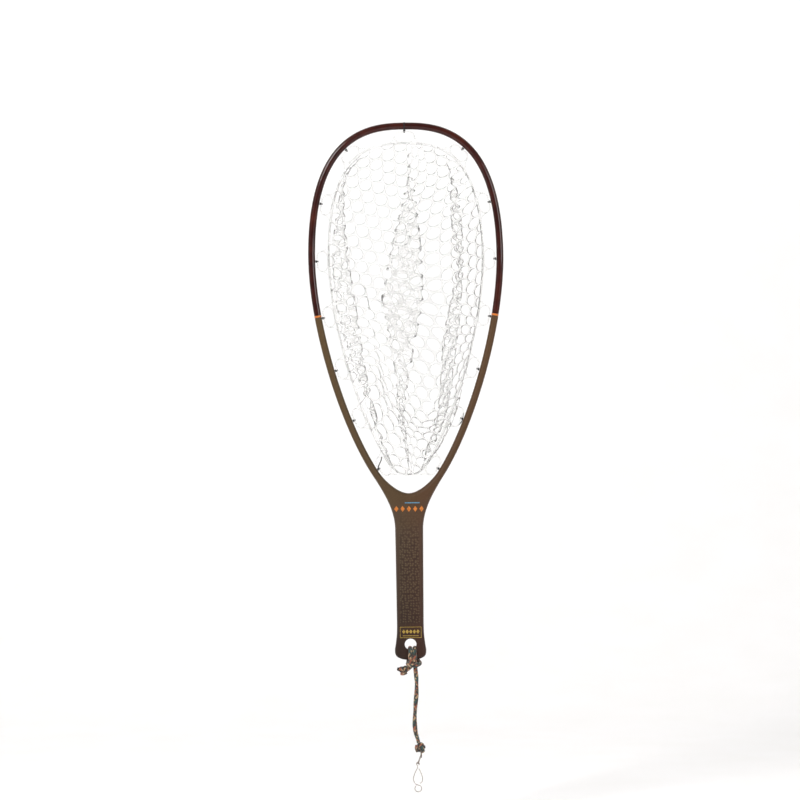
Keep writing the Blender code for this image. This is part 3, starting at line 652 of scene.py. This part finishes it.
arm_loops, half_loops = [], []
arm_top = BAND_RUN + BAND_HEIGHT / 2 + BAND_GAP
for k in range(ARM_STEPS + 1):
    share = k / ARM_STEPS
    centre, outward = on_head(arm_top + (HEAD_HALF - arm_top) * share)
    depth = 2 * BOW_RADIUS + (THROAT_DEPTH - 2 * BOW_RADIUS) * share
    outer, inner = centre + outward * BOW_RADIUS, centre - outward * BOW_RADIUS
    rounding = BOW_RADIUS * 2 * 0.499
    arm_loops.append(arm_loop(outer, outward, inner, -outward, rounding, depth))

neck = Vector((NECK_HALF, 0, NECK_Z))
fall = outer.z - NECK_Z
throat = bezier(
    outer, outer - arm_lean * fall * 0.52, neck + Vector((0, 0, fall * 0.30)), neck, THROAT_STEPS
)
corner_z = HANDLE_END_Z + END_CROWN
flare_z = HANDLE_END_Z + FLARE_LENGTH
grip_edge = smooth_line(
    [
        neck,
        ((NECK_HALF + GRIP_HALF) / 2, 0, NECK_Z * 0.4),
        (GRIP_HALF, 0, flare_z * 0.5),
        (GRIP_HALF, 0, flare_z),
        (GRIP_HALF * 0.4 + END_HALF * 0.6, 0, HANDLE_END_Z + FLARE_LENGTH * 0.55),
        (END_HALF, 0, corner_z + END_CROWN * 1.2),
        (END_HALF * 0.924, 0, corner_z),
        (END_HALF * 0.58, 0, HANDLE_END_Z + END_CROWN * 0.33),
        (0, 0, HANDLE_END_Z),
    ],
    0.0025,
)
edge = np.vstack([throat[:-1], grip_edge])
directions = edge_directions(edge, outward, (0, 0, -1))
fork = Vector((0, 0, FORK_Z))
crotch = bezier(
    inner, inner - arm_lean * FORK_ROUND, fork + Vector((FORK_ROUND, 0, 0)), fork, FORK_STEPS
)
crotch_directions = -edge_directions(crotch, outward, (0, 0, -1))
for k in range(1, FORK_STEPS + 1):
    share = k / FORK_STEPS
    depth = THROAT_DEPTH + (GRIP_DEPTH - THROAT_DEPTH) * ease(k / THROAT_STEPS)
    rounding = min(EDGE_ROUND, BOW_RADIUS * 0.998 + (EDGE_ROUND - BOW_RADIUS) * ease(share))
    way, inner_way = directions[k], crotch_directions[k]
    arm_loops.append(arm_loop(edge[k], way, crotch[k], inner_way, rounding, depth))
top_z, bottom_z, from_z = FORK_Z - EDGE_ROUND, HANDLE_END_Z + EDGE_ROUND, edge[FORK_STEPS][2]
for k in range(FORK_STEPS, len(edge)):
    share = (from_z - edge[k][2]) / (from_z - HANDLE_END_Z)
    depth = THROAT_DEPTH + (GRIP_DEPTH - THROAT_DEPTH) * ease(k / THROAT_STEPS)
    near_end = (flare_z - edge[k][2]) / (FLARE_LENGTH - END_CROWN * 2)
    depth -= (GRIP_DEPTH - END_DEPTH) * ease(near_end)
    side = edge_arc(edge[k], directions[k], EDGE_ROUND, depth)
    middle = np.array([0, 0, top_z + (bottom_z - top_z) * share])
    front, back = middle - [0, depth / 2, 0], middle + [0, depth / 2, 0]
    across = np.linspace(0, 1, 6)[:-1, None]
    front_face, back_face = front + (side[0] - front) * across, back + (side[-1] - back) * across
    half_loops.append(np.vstack([front_face, side, back_face[::-1]]))


def bridge(work, low, high, closed=True):
    """Faces from one row of vertices to the next."""
    for k in range(len(low) if closed else len(low) - 1):
        n = (k + 1) % len(low)
        work.faces.new((low[k], low[n], high[n], high[k]))


work = bmesh.new()
for mirror in (1, -1):
    scale = np.array([mirror, 1, 1])
    arm = [[work.verts.new(p * scale) for p in loop] for loop in arm_loops]
    grip = [[work.verts.new(p * scale) for p in loop] for loop in half_loops]
    work.faces.new(arm[0])
    for low, high in zip(arm, arm[1:]):
        bridge(work, low, high)
    for low, high in zip(grip, grip[1:]):
        bridge(work, low, high, closed=False)
bmesh.ops.remove_doubles(work, verts=work.verts, dist=2e-5)
bmesh.ops.dissolve_degenerate(work, edges=work.edges, dist=1e-6)
bmesh.ops.holes_fill(work, edges=work.edges, sides=40)
bmesh.ops.recalc_face_normals(work, faces=work.faces)
handle = made_object("moulded_handle", work)

# The lanyard hole is drilled, then its two rims are eased.
drill_end = (0.012, HOLE_RADIUS + HOLE_CHAMFER + 0.0043)
drill_rim = (END_DEPTH / 2 - HOLE_CHAMFER + 0.0003, HOLE_RADIUS)
drill_turn = [math.tau * k / HOLE_SIDES for k in range(HOLE_SIDES)]
work = bmesh.new()
rings = [
    [work.verts.new((r * math.cos(a), side * y, HOLE_Z + r * math.sin(a))) for a in drill_turn]
    for side, (y, r) in ((-1, drill_end), (-1, drill_rim), (1, drill_rim), (1, drill_end))
]
for low, high in zip(rings, rings[1:]):
    bridge(work, low, high)
work.faces.new(rings[0])
work.faces.new(rings[-1])
bmesh.ops.recalc_face_normals(work, faces=work.faces)
drill = made_object("lanyard_drill", work)
cut = handle.modifiers.new("lanyard_hole", "BOOLEAN")
cut.operation, cut.solver, cut.object = "DIFFERENCE", "EXACT", drill
bpy.context.view_layer.update()
drilled = bpy.data.meshes.new_from_object(
    handle.evaluated_get(bpy.context.evaluated_depsgraph_get())
)
handle.modifiers.clear()
handle.data = drilled
bpy.data.objects.remove(drill)
handle.data.set_sharp_from_angle(angle=math.radians(32))
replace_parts(handle, "handle_yoke")

# Moulded composite with a satin olive-brown coat: warmer and lighter on the arms, darker towards
# the foot, and a reddish painted sheen grows towards the right side. Pebbles 3.6 mm apart stand up
# in the grip's panel, their tops paler, with painted shade in the hollows between them.
PANEL_HALF_MM = 14.6
PANEL_TOP_MM = 108.0
PANEL_FOOT_MM = -54.0
PANEL_FADE_MM = 60.0
PEBBLE_MM = 3.6
composite, tree, shader, place = surface("moulded_olive_composite", {"Specular IOR Level": 0.17})
parts = add(tree, "SeparateXYZ", {0: place}).node.outputs
up = add(tree, "MapRange", {0: parts["Z"], 1: -0.10, 2: 0.36})
cloud = add(tree, "TexNoise", {"Vector": place, "Scale": 28.0, "Detail": 4.0})
drift = add(tree, "MapRange", {0: cloud, 3: -0.10, 4: 0.10})
level = add(tree, "Math", {0: up, 1: drift}, operation="ADD")
coat = add(
    tree, "ValToRGB", {0: level},
    [(0.02, "#2b1d17"), (0.22, "#3c2d22"), (0.38, "#453629"), (0.48, "#4a3926"), (0.95, "#4e3c24")],
)
sideways = add(tree, "Math", {0: parts["X"]}, operation="ABSOLUTE")
inside, above, below = (
    add(tree, "MapRange", sockets, interpolation_type="SMOOTHSTEP")
    for sockets in (
        {0: sideways, 1: PANEL_HALF_MM / 1000, 2: (PANEL_HALF_MM - 2.5) / 1000},
        {0: parts["Z"], 1: PANEL_FOOT_MM / 1000, 2: (PANEL_FOOT_MM + 5) / 1000},
        {0: parts["Z"], 1: PANEL_TOP_MM / 1000, 2: (PANEL_TOP_MM - PANEL_FADE_MM) / 1000, 3: 0.12},
    )
)
facing = add(tree, "Math", {0: inside, 1: above}, operation="MULTIPLY")
panel = add(tree, "Math", {0: facing, 1: below}, operation="MULTIPLY")
face_on = add(tree, "CombineXYZ", {0: parts["X"], 1: parts["Z"]})
pebbles = add(
    tree, "TexVoronoi",
    {"Vector": face_on, "Scale": 1000 / PEBBLE_MM, "Smoothness": 0.2, "Randomness": 0.62},
    feature="SMOOTH_F1", voronoi_dimensions="2D",
)
shares = []
for distance, share in ((0.12, 0.36), (0.62, 0.62)):
    near = add(
        tree, "MapRange", {0: pebbles, 1: 0.30, 2: distance}, interpolation_type="SMOOTHSTEP"
    )
    held = add(tree, "Math", {0: near, 1: panel}, operation="MULTIPLY")
    shares.append(add(tree, "Math", {0: held, 1: share}, operation="MULTIPLY"))
# The pebbles' tops are paler; painted shade darkens the hollows between them.
pale, pebble_gap_shade = shares
# A reddish painted sheen, growing towards the grip's right side.
right_side_sheen = add(tree, "MapRange", {0: parts["X"], 1: -0.012, 2: 0.019, 3: 0.0, 4: 0.27})
tinted = coat
for share, colour in ((right_side_sheen, "#4e2a1e"), (pebble_gap_shade, "#291c15"), (pale, "#6b6146")):
    tinted = add(tree, "Mix", {0: share, 6: tinted, 7: linear(colour)}, data_type="RGBA")
speckle = add(tree, "TexNoise", {"Vector": place, "Scale": 900.0, "Detail": 3.0})
grit = add(tree, "MapRange", {0: speckle, 3: 0.82, 4: 1.16})
coloured = add(tree, "Mix", {0: 1.0, 6: tinted, 7: grit}, data_type="RGBA", blend_type="MULTIPLY")
dull = add(tree, "MapRange", {0: speckle, 3: 0.40, 4: 0.60})
round_tops = add(tree, "MapRange", {0: pebbles, 1: 0.0, 2: 0.6, 3: 1.0, 4: 0.0})
raised = add(tree, "Math", {0: round_tops, 1: panel}, operation="MULTIPLY")
fine = add(tree, "Math", {0: speckle, 1: 0.10}, operation="MULTIPLY")
height = add(tree, "Math", {0: raised, 1: fine}, operation="ADD")
grain = add(tree, "Bump", {"Height": height, "Strength": 0.55, "Distance": 0.0010})
feed(shader, {"Base Color": coloured, "Roughness": dull, "Normal": grain})
handle.data.materials.clear()
fitted(handle, composite)


# ------------------------ printed marks
# Pad-printed decoration on the handle's face: a plain row of orange lozenges with a blue rule
# on the throat, and a gold frame with small lozenges in it above the lanyard hole.

PRINT_HEIGHT = 0.00012
handle_front = BVHTree.FromObject(handle, bpy.context.evaluated_depsgraph_get())


def printed(name, shapes, ink):
    """Thin printed shapes, each a flat outline of (x, z) points, laid on the handle's front."""
    points, faces = [], []
    for outline in shapes:
        first = len(points)
        for proud in (-PRINT_HEIGHT, 0.0002):
            for x, z in outline:
                hit = handle_front.ray_cast(Vector((x, -0.1, z)), Vector((0, 1, 0)))[0]
                points.append((x, hit.y + proud, z))
        size = len(outline)
        faces.append(tuple(range(first, first + size)))
        faces.append(tuple(range(first + size, first + 2 * size)))
        faces += ring_faces(first, first + size, size)
    return fitted(shown_mesh(name, points, faces, sharp=30), ink)


def lozenges(middles_mm, z, wide, high):
    """A row of lozenges, each in upright strips, so that it follows the rounded face."""
    cuts = np.linspace(-0.499, 0.499, 7)
    strips = []
    for x in middles_mm:
        for a, b in zip(cuts, cuts[1:]):
            tall_a, tall_b = high * (0.5 - abs(a)), high * (0.5 - abs(b))
            left, right = x / 1000 + a * wide, x / 1000 + b * wide
            strips.append(
                [(left, z - tall_a), (left, z + tall_a), (right, z + tall_b), (right, z - tall_b)]
            )
    return strips


def rule(left, right, low, high):
    """A straight bar in short lengths, so that it follows the rounded face."""
    cuts = np.linspace(left, right, max(1, round((right - left) / 0.0015)) + 1)
    return [[(a, low), (a, high), (b, high), (b, low)] for a, b in zip(cuts, cuts[1:])]


# Pad-printing ink: thin and matt, a little patchy where the pebbles lift it.
inks = {}
for word, colours in (
    ("orange", ("#93521f", "#c0702c")), ("blue", ("#3c6a86", "#5b8aa5")),
    ("gold", ("#7d662b", "#b19343")),
):
    inks[word] = grained(
        f"pad_printed_{word}_ink", {"Specular IOR Level": 0.3}, 600.0, 3.0,
        [(0.3, colours[0]), (0.62, colours[1])], (0.45, 0.7), 0.2, 0.0002,
    )

MARK_Z = 0.1030
mark = lozenges((-17.0, -8.5, 0, 8.5, 17.0), MARK_Z, 0.0058, 0.0080)
printed("throat_lozenges", mark, inks["orange"])
printed("throat_rule", rule(-0.0055, 0.0145, 0.1105, 0.1118), inks["blue"])
left, right, low, high, line = -0.0140, 0.0148, -0.0708, -0.0560, 0.0005
printed(
    "foot_label",
    [
        *rule(left, right, high - line, high), *rule(left, right, low, low + line),
        *rule(left, left + line, low + line, high - line),
        *rule(right - line, right, low + line, high - line),
        *lozenges((-9.1, -4.3, 0.5, 5.3, 10.1), -0.0624, 0.0044, 0.0056),
        *rule(-0.0100, 0.0110, -0.0684, -0.0676),
    ],
    inks["gold"],
)


# ------------------------ rubber bag
# A soft bag moulded in clear silicone rubber: a round rim, fifteen loops outside it for the ties,
# and a mesh of round holes 16 mm across in a pattern of hexagons. It hangs from the rim behind the
# opening, and its spare width lies in long upright folds that gather in swags near the foot.

RIM_INSET = 0.02325
RIM_RADIUS = 0.0015
RIM_FOOT_Z = FORK_Z + 0.0255
PITCH_MM = 18.8
HOLE_MM = 16.1
WEB_MM = 1.5
CELL_SIDES = 18
CELL_ROWS = range(-12, 60)
CELL_COLUMNS = range(-40, 40)
CUT_MARGIN = 0.004
LATTICE_TILT = math.radians(13)
ROWS_BETWEEN = 24
STEPS_BETWEEN = 16

rim_side = []
for s in np.linspace(0, HEAD_HALF, 151):
    centre, outward = on_head(s)
    rim_side.append(centre - outward * RIM_INSET)
rim_low = rim_side[-1]
rim_sill = (rim_low.x * 0.55, 0, RIM_FOOT_Z + (rim_low.z - RIM_FOOT_Z) * 0.18)
rim_right = smooth_line([*rim_side[::3], rim_sill, (0, 0, RIM_FOOT_Z)], 0.0025)
rim_left = (rim_right * [-1, 1, 1])[-2:0:-1]
rim_line = np.vstack([rim_right, rim_left])
rim_turn = int(np.argmax(rim_right[:, 0]))


def rim_x(z):
    """How far the rim stands from the middle at a height."""
    part = rim_right[: rim_turn + 1] if z > rim_right[rim_turn][2] else rim_right[rim_turn:]
    return float(np.interp(z, part[::-1, 2], part[::-1, 0]))


def rim_z(x, top):
    part = rim_right[: rim_turn + 1] if top else rim_right[rim_turn:][::-1]
    return float(np.interp(abs(x), part[:, 0], part[:, 2]))


# Each row runs across the bag from rim to rim. Its numbers in mm are its height at the rim, how
# far it droops in the middle, its share of the full depth, and how far left or right its folds lie.
BAG_ROWS = [
    (553, 0, 0.34, (-78, -81, -75, -36, 8, 5, 37, 64, 62, 74)),
    (520, 0, 0.60, (-82, -90, -81, -42, 15, -4, 39, 73, 61, 80)),
    (472, 0, 0.86, (-80, -98, -75, -48, 20, -17, 41, 78, 64, 84)),
    (432, 0, 1.00, (-76, -100, -66, -48, 23, -26, 43, 78, 69, 87)),
    (385, 2, 1.00, (-69, -96, -55, -46, 23, -34, 44, 75, 60, 81)),
    (346, 14, 1.00, (-64, -88, -50, -38, 12, -25, 39, 71, 50, 74)),
    (316, 40, 1.00, (-60, -79, -46, -32, 2, -16, 32, 64, 46, 68)),
    (290, 58, 0.95, (-56, -71, -43, -28, -4, -13, 27, 58, 42, 63)),
    (266, 52, 0.76, (-51, -62, -40, -24, -5, -11, 22, 52, 39, 59)),
    (240, 34, 0.62, (-45, -53, -35, -20, -4, -9, 18, 46, 35, 55)),
    (212, 16, 0.48, (-37, -43, -30, -16, -2, -6, 15, 40, 30, 48)),
    (186, 6, 0.34, (-29, -33, -24, -12, 0, -3, 12, 31, 24, 38)),
]
TOP_ROW = (-66, -57, -50, -42, -22, 1, 7, 24, 42, 48, 56, 66)
FOOT_ROW = (-30, -24, -19, -13, -6, 0, 3, 8, 14, 19, 25, 30)
FOLD_DEPTHS = (0, 16, 33, 44, 51, 59, 71, 84, 61, 41, 23, 0)
SWAG_MIDDLE_MM = 18
SWAG_HALF_MM = 62

control = [[(x / 1000, 0.0, rim_z(x / 1000, True)) for x in TOP_ROW]]
for height, droop, share, folds in BAG_ROWS:
    edge_mm = rim_x(height / 1000) * 1000
    row = []
    for x, depth in zip([-edge_mm, *folds, edge_mm], FOLD_DEPTHS):
        sag = droop * max(0.0, 1 - ((x - SWAG_MIDDLE_MM) / SWAG_HALF_MM) ** 2)
        row.append((x / 1000, depth * share / 1000, (height - sag) / 1000))
    control.append(row)
control.append([(x / 1000, 0.0, rim_z(x / 1000, False)) for x in FOOT_ROW])


def between(grid, steps):
    """A smooth surface through a grid of points, with more rows: steps for each one given."""
    padded = np.concatenate([2 * grid[:1] - grid[1:2], grid, 2 * grid[-1:] - grid[-2:-1]])
    rows = []
    for a, b, c, d in zip(padded, padded[1:], padded[2:], padded[3:]):
        rows += [through(a, b, c, d, t) for t in np.arange(steps) / steps]
    return np.array([*rows, grid[-1]])


drape = between(np.array(control), ROWS_BETWEEN)
drape = between(drape.transpose(1, 0, 2), STEPS_BETWEEN).transpose(1, 0, 2)
row_count = len(drape)

# The rubber's own flat measure. Across, it runs along each row from the panel left of the middle
# fold; the fold itself takes up part of what its width changes, so the right side stays even.
# Down, it is the mean of that panel and of the swags' middle.
still, fold_in, fold_out = (k * STEPS_BETWEEN for k in (4, 5, 7))
FOLD_MEAN = 0.120
FOLD_GIVE = 0.55
across = np.concatenate(
    [np.zeros((row_count, 1)), np.cumsum(np.linalg.norm(np.diff(drape, axis=1), axis=2), axis=1)],
    axis=1,
)
across -= across[:, still : still + 1]
for row in across:
    given = FOLD_MEAN + FOLD_GIVE * (row[fold_out] - FOLD_MEAN)
    stretch = (given - row[fold_in]) / (row[fold_out] - row[fold_in])
    shift = given - row[fold_out]
    row[fold_in:fold_out] = row[fold_in] + (row[fold_in:fold_out] - row[fold_in]) * stretch
    row[fold_out:] += shift
down = (run_along(drape[:, still]) + run_along(drape[:, fold_out])) / 2
cut_left, cut_right = across[:, 0], across[:, -1]
CUT_STEP = 0.001
cut_at = np.arange(cut_left.min(), cut_right.max() + CUT_STEP, CUT_STEP)
cut_table = np.stack([points_at(cut_at, across[k], drape[k]) for k in range(row_count)])


def cut_sides(v):
    """The row of the drape at a height of the flat pattern, and the pattern's two sides there."""
    numbers = np.arange(row_count)
    row = np.interp(v, down, numbers)
    return row, np.interp(row, numbers, cut_left), np.interp(row, numbers, cut_right)


def draped(u, v):
    """Where points of the flat pattern lie on the hanging bag, and which way it faces there."""
    row, low, high = cut_sides(v)
    u = np.clip(u, low, high)

    def at(row, u):
        i = np.clip(row.astype(int), 0, row_count - 2)
        column = np.clip((u - cut_at[0]) / CUT_STEP, 0, len(cut_at) - 1.001)
        j = column.astype(int)
        a, b = (row - i)[:, None], (column - j)[:, None]
        near = cut_table[i, j] * (1 - b) + cut_table[i, j + 1] * b
        far = cut_table[i + 1, j] * (1 - b) + cut_table[i + 1, j + 1] * b
        return near * (1 - a) + far * a

    here = at(row, u)
    sideways = at(row, np.minimum(u + 0.002, high)) - at(row, np.maximum(u - 0.002, low))
    downward = at(np.minimum(row + 2, row_count - 1), u) - at(np.maximum(row - 2, 0), u)
    facing = np.cross(sideways, downward)
    size = np.linalg.norm(facing, axis=1)[:, None]
    return here, facing / np.maximum(size, 1e-9)


# One cell of the mesh: its hexagon outline, an eased edge and the hole's wall, both sides.
hexagon_turn = np.radians(30 + 60 * np.arange(7))
corners = np.column_stack([np.cos(hexagon_turn), np.sin(hexagon_turn)]) * PITCH_MM / math.sqrt(3)
outline = np.vstack(
    [corners[k] + (corners[k + 1] - corners[k]) * t for k in range(6) for t in (0, 1 / 3, 2 / 3)]
)
round_turn = np.arctan2(outline[:, 1], outline[:, 0])
circle = np.column_stack([np.cos(round_turn), np.sin(round_turn)])
cell_rings = [
    (outline, 0.5), (circle * (HOLE_MM / 2 + 0.35), 0.42), (circle * HOLE_MM / 2, 0.0),
    (circle * (HOLE_MM / 2 + 0.35), -0.42), (outline, -0.5),
]
row_pitch = PITCH_MM * math.sqrt(3) / 2


def tilted(x, y):
    """A place in the rows of cells, in mm, as one in the flat pattern, in metres."""
    cos, sin = math.cos(LATTICE_TILT), math.sin(LATTICE_TILT)
    return (x * cos - y * sin) / 1000, (x * sin + y * cos) / 1000


flat_u, flat_v, lift, mesh_faces = [], [], [], []
for k in CELL_ROWS:
    for i in CELL_COLUMNS:
        u0, v0 = tilted((i + 0.5 * (k % 2)) * PITCH_MM, k * row_pitch)
        if not -CUT_MARGIN < v0 < down[-1] + CUT_MARGIN:
            continue
        row, low, high = cut_sides(v0)
        if not low - CUT_MARGIN < u0 < high + CUT_MARGIN:
            continue
        first = len(flat_u) * CELL_SIDES
        for ring, side in cell_rings:
            turned_u, turned_v = tilted(ring[:, 0], ring[:, 1])
            flat_u.append(u0 + turned_u)
            flat_v.append(v0 + turned_v)
            lift.append(np.full(CELL_SIDES, side * WEB_MM / 1000))
        for ring in range(len(cell_rings) - 1):
            start = first + ring * CELL_SIDES
            mesh_faces += ring_faces(start, start + CELL_SIDES, CELL_SIDES)
here, facing = draped(np.concatenate(flat_u), np.concatenate(flat_v))
mesh_points = here + facing * np.concatenate(lift)[:, None]
cells = bpy.data.meshes.new("separate_cells")
cells.from_pydata(mesh_points.tolist(), [], mesh_faces)
# Painted edge shade: the middle of each hole's wall is marked to be drawn dark grey.
edge_shade_layer = cells.attributes.new("painted_edge_shade", "FLOAT", "POINT")
edge_shade_layer.data.foreach_set("value", (np.abs(np.concatenate(lift)) < 1e-9).astype(np.float32))
work = bmesh.new()
work.from_mesh(cells)
bpy.data.meshes.remove(cells)
bmesh.ops.remove_doubles(work, verts=work.verts, dist=4e-5)
bmesh.ops.dissolve_degenerate(work, edges=work.edges, dist=1e-5)
net = made_object("rubber_mesh", work)

# The rim, and one moulded loop at each tie with a web running out to the rim on either side.
LOOP_REACH = 0.0076
LOOP_OUTLINE = [
    (-8.8, 0.3), (0.0, 0.0), (8.8, 0.3), (12.9, 4.2), (13.2, 8.8), (9.2, 13.2), (0.0, 14.6),
    (-9.2, 13.2), (-13.2, 8.8), (-12.9, 4.2),
]
LOOP_WEB = [(13.2, 5.4), (15.6, 11.0), (19.4, 15.2)]
LOOP_STRAND = 0.00085
tie_names = ["tie_top"] + [f"tie_{w}_{k}" for w in ("left", "right") for k in range(1, 8)]
tie_runs = {name: run_of(name) * (-1 if "left" in name else 1) for name in tie_names}
tie_runs["tie_top"] = 0.0
rim_parts = [tube(rim_line, RIM_RADIUS, RIM_RADIUS, 12, closed=True)]
for number, name in enumerate(tie_names):
    centre, outward = on_head(tie_runs[name])
    along = Vector((outward.z, 0, -outward.x))
    top = centre - outward * LOOP_REACH
    lean = 0.10 * math.sin(2.4 * number)

    def moulded(a, h):
        """A point of the loop: a along the frame, h in from it, in mm; the loop leans a little."""
        place = top + along * (a / 1000) - outward * (h * math.cos(lean) / 1000)
        return tuple(place + Vector((0, math.sin(lean) * h * (15.6 - h) / 7800, 0)))

    ring = smooth_line([moulded(*p) for p in [*LOOP_OUTLINE, LOOP_OUTLINE[0]]], 0.0012)[:-1]
    rim_parts.append(tube(ring, LOOP_STRAND, LOOP_STRAND * 1.1, 10, closed=True))
    for side in (1, -1):
        web = smooth_line([moulded(side * a, h) for a, h in LOOP_WEB], 0.0012)
        rim_parts.append(tube(web, LOOP_STRAND * 0.8, LOOP_STRAND, 10))
rim = shown_mesh("rubber_rim_and_loops", *joined(rim_parts))
# Painted edge shade on the rim and loops, strongest where they turn side-on to the view.
edge_shade_layer = rim.data.attributes.new("painted_edge_shade", "FLOAT", "POINT")
edge_shade_layer.data.foreach_set("value", [max(0.0, 1 - abs(v.normal.y) / 0.7) for v in rim.data.vertices])

# Clear silicone rubber, pressure moulded: it bends the light of the white room, so each strand
# shows as a fine grey line with bright middle, and the folds darken where strands lie together.
# Painted shade darkens the strands' edges: round each hole's wall, and along the rim and loops
# where they turn side-on to the view, so the mesh is drawn in thin dark lines.
EDGE_SHADE_GREY = 0.85
rubber, tree, shader, place = surface(
    "moulded_clear_silicone", {"IOR": 1.41, "Specular IOR Level": 0.5}
)
haze = add(tree, "TexNoise", {"Vector": place, "Scale": 60.0, "Detail": 3.0})
tone = add(tree, "ValToRGB", {0: haze}, [(0.3, "#f7f7f6"), (0.7, "#fdfdfd")])
edge_shade_attribute = add(tree, "Attribute", attribute_name="painted_edge_shade", output="Fac")
# Where painted edge shade is marked, the rubber is painted dark grey and lets less light through.
edge_shade = add(tree, "MapRange", {0: edge_shade_attribute, 1: 0.3, 2: 0.9, 3: 0.0, 4: EDGE_SHADE_GREY})
edged = add(tree, "Mix", {0: edge_shade, 6: tone, 7: linear("#605e5c")}, data_type="RGBA")
clear = add(tree, "MapRange", {0: edge_shade, 3: 0.97, 4: 0.22})
bloom = add(tree, "TexNoise", {"Vector": place, "Scale": 400.0, "Detail": 2.0})
dull = add(tree, "MapRange", {0: bloom, 3: 0.06, 4: 0.20})
grain = add(tree, "Bump", {"Height": bloom, "Strength": 0.15, "Distance": 0.0004})
feed(shader, {"Base Color": edged, "Transmission Weight": clear})
feed(shader, {"Roughness": dull, "Normal": grain})
for piece in (net, rim):
    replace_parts(fitted(piece, rubber), "net_bag")

# What the rubber has to cover is its own surface in the flat pattern: both faces and the walls.
flat_points = np.column_stack([np.concatenate(part) for part in (flat_u, flat_v, lift)])
a, b, c, d = (flat_points[np.array(mesh_faces)[:, k]] for k in range(4))


# ------------------------ ties
# Black waxed thread, 0.8 mm thick: each tie comes out of a hole in the frame's inner face, goes
# twice round the moulded loop and is knotted hard against the frame. A few ends were left long.

THREAD = 0.0004
THREAD_SIDES = 8
thread = grained(
    "waxed_black_thread", {"Specular IOR Level": 0.3}, 1400.0, 2.0,
    [(0.3, "#0e0d0d"), (0.7, "#232020")], (0.5, 0.8), 0.6, 0.0003,
)


def strand(line, girth=1.0, closed=False):
    """One strand of thread along a line, girth times as thick as a plain one."""
    return tube(np.array(line), THREAD * girth, THREAD * girth, THREAD_SIDES, closed=closed)


for name in tie_names:
    centre, outward = on_head(tie_runs[name])
    along = Vector((outward.z, 0, -outward.x))
    face = centre - outward * (BOW_RADIUS + 0.0006)
    parts = []
    for turn in (-1, 1):
        loop = []
        for k in range(24):
            a = math.tau * k / 24
            reach = 0.00155 + 0.0017 * math.sin(a)
            out = face - outward * (reach + 0.0004)
            loop.append(out + Vector((0, 0.0015 * math.cos(a), 0)) + along * (turn * 0.0006))
        parts.append(strand(loop, closed=True))
    lump = []
    for k in range(40):
        a = math.tau * 2.7 * k / 39
        around = along * (0.0013 * math.cos(a)) + Vector((0, 0.0011 * math.sin(a), 0))
        lump.append(face + around - outward * (0.0011 * k / 39))
    parts.append(strand(smooth_line(lump, 0.0004), 1.25))
    if name == "tie_top":
        for shift in (-0.0005, 0.0005):
            wrap = []
            for k in range(40):
                a = math.tau * k / 40
                around = outward * math.cos(a) + Vector((0, math.sin(a), 0))
                wrap.append(centre + along * shift + around * (BOW_RADIUS + 0.0003))
            parts.append(strand(wrap, closed=True))
    ends = []
    if name == "tie_left_7":
        ends = [(1.7, [(0.0016, -0.001, 0.006), (0.0046, -0.001, 0.0125), (0.0052, 0, 0.0170)])]
    if name == "tie_right_6":
        ends = [
            (1.0, [(x * 0.35, -0.0016, z * 0.45), (x, -0.0012, z)])
            for x, z in ((-0.0055, -0.0082), (-0.0032, -0.0064), (0.0012, 0.0078))
        ]
    for girth, reaches in ends:
        end = [face, *(face + Vector(reach) for reach in reaches)]
        parts.append(strand(smooth_line(end, 0.0008), girth))
    tie = shown_mesh(f"thread_{name}", *joined(parts))
    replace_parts(fitted(tie, thread), name)


# ------------------------ split ring and clip
# Spring steel wire, bent cold and nickel plated: a two-turn split ring and a pear-shaped clip
# whose free leg springs shut behind its foot.

steel = grained(
    "nickel_plated_spring_wire", {"Metallic": 1.0}, 900.0, 4.0,
    [(0.3, "#857d76"), (0.7, "#a8a099")], (0.32, 0.52), 0.15, 0.0002,
)
for name in ("split_ring", "clip_body", "clip_gate"):
    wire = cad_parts[name]
    wire.data.materials.clear()
    wire.data.materials.append(steel)
    wire.data.polygons.foreach_set("use_smooth", [True] * len(wire.data.polygons))
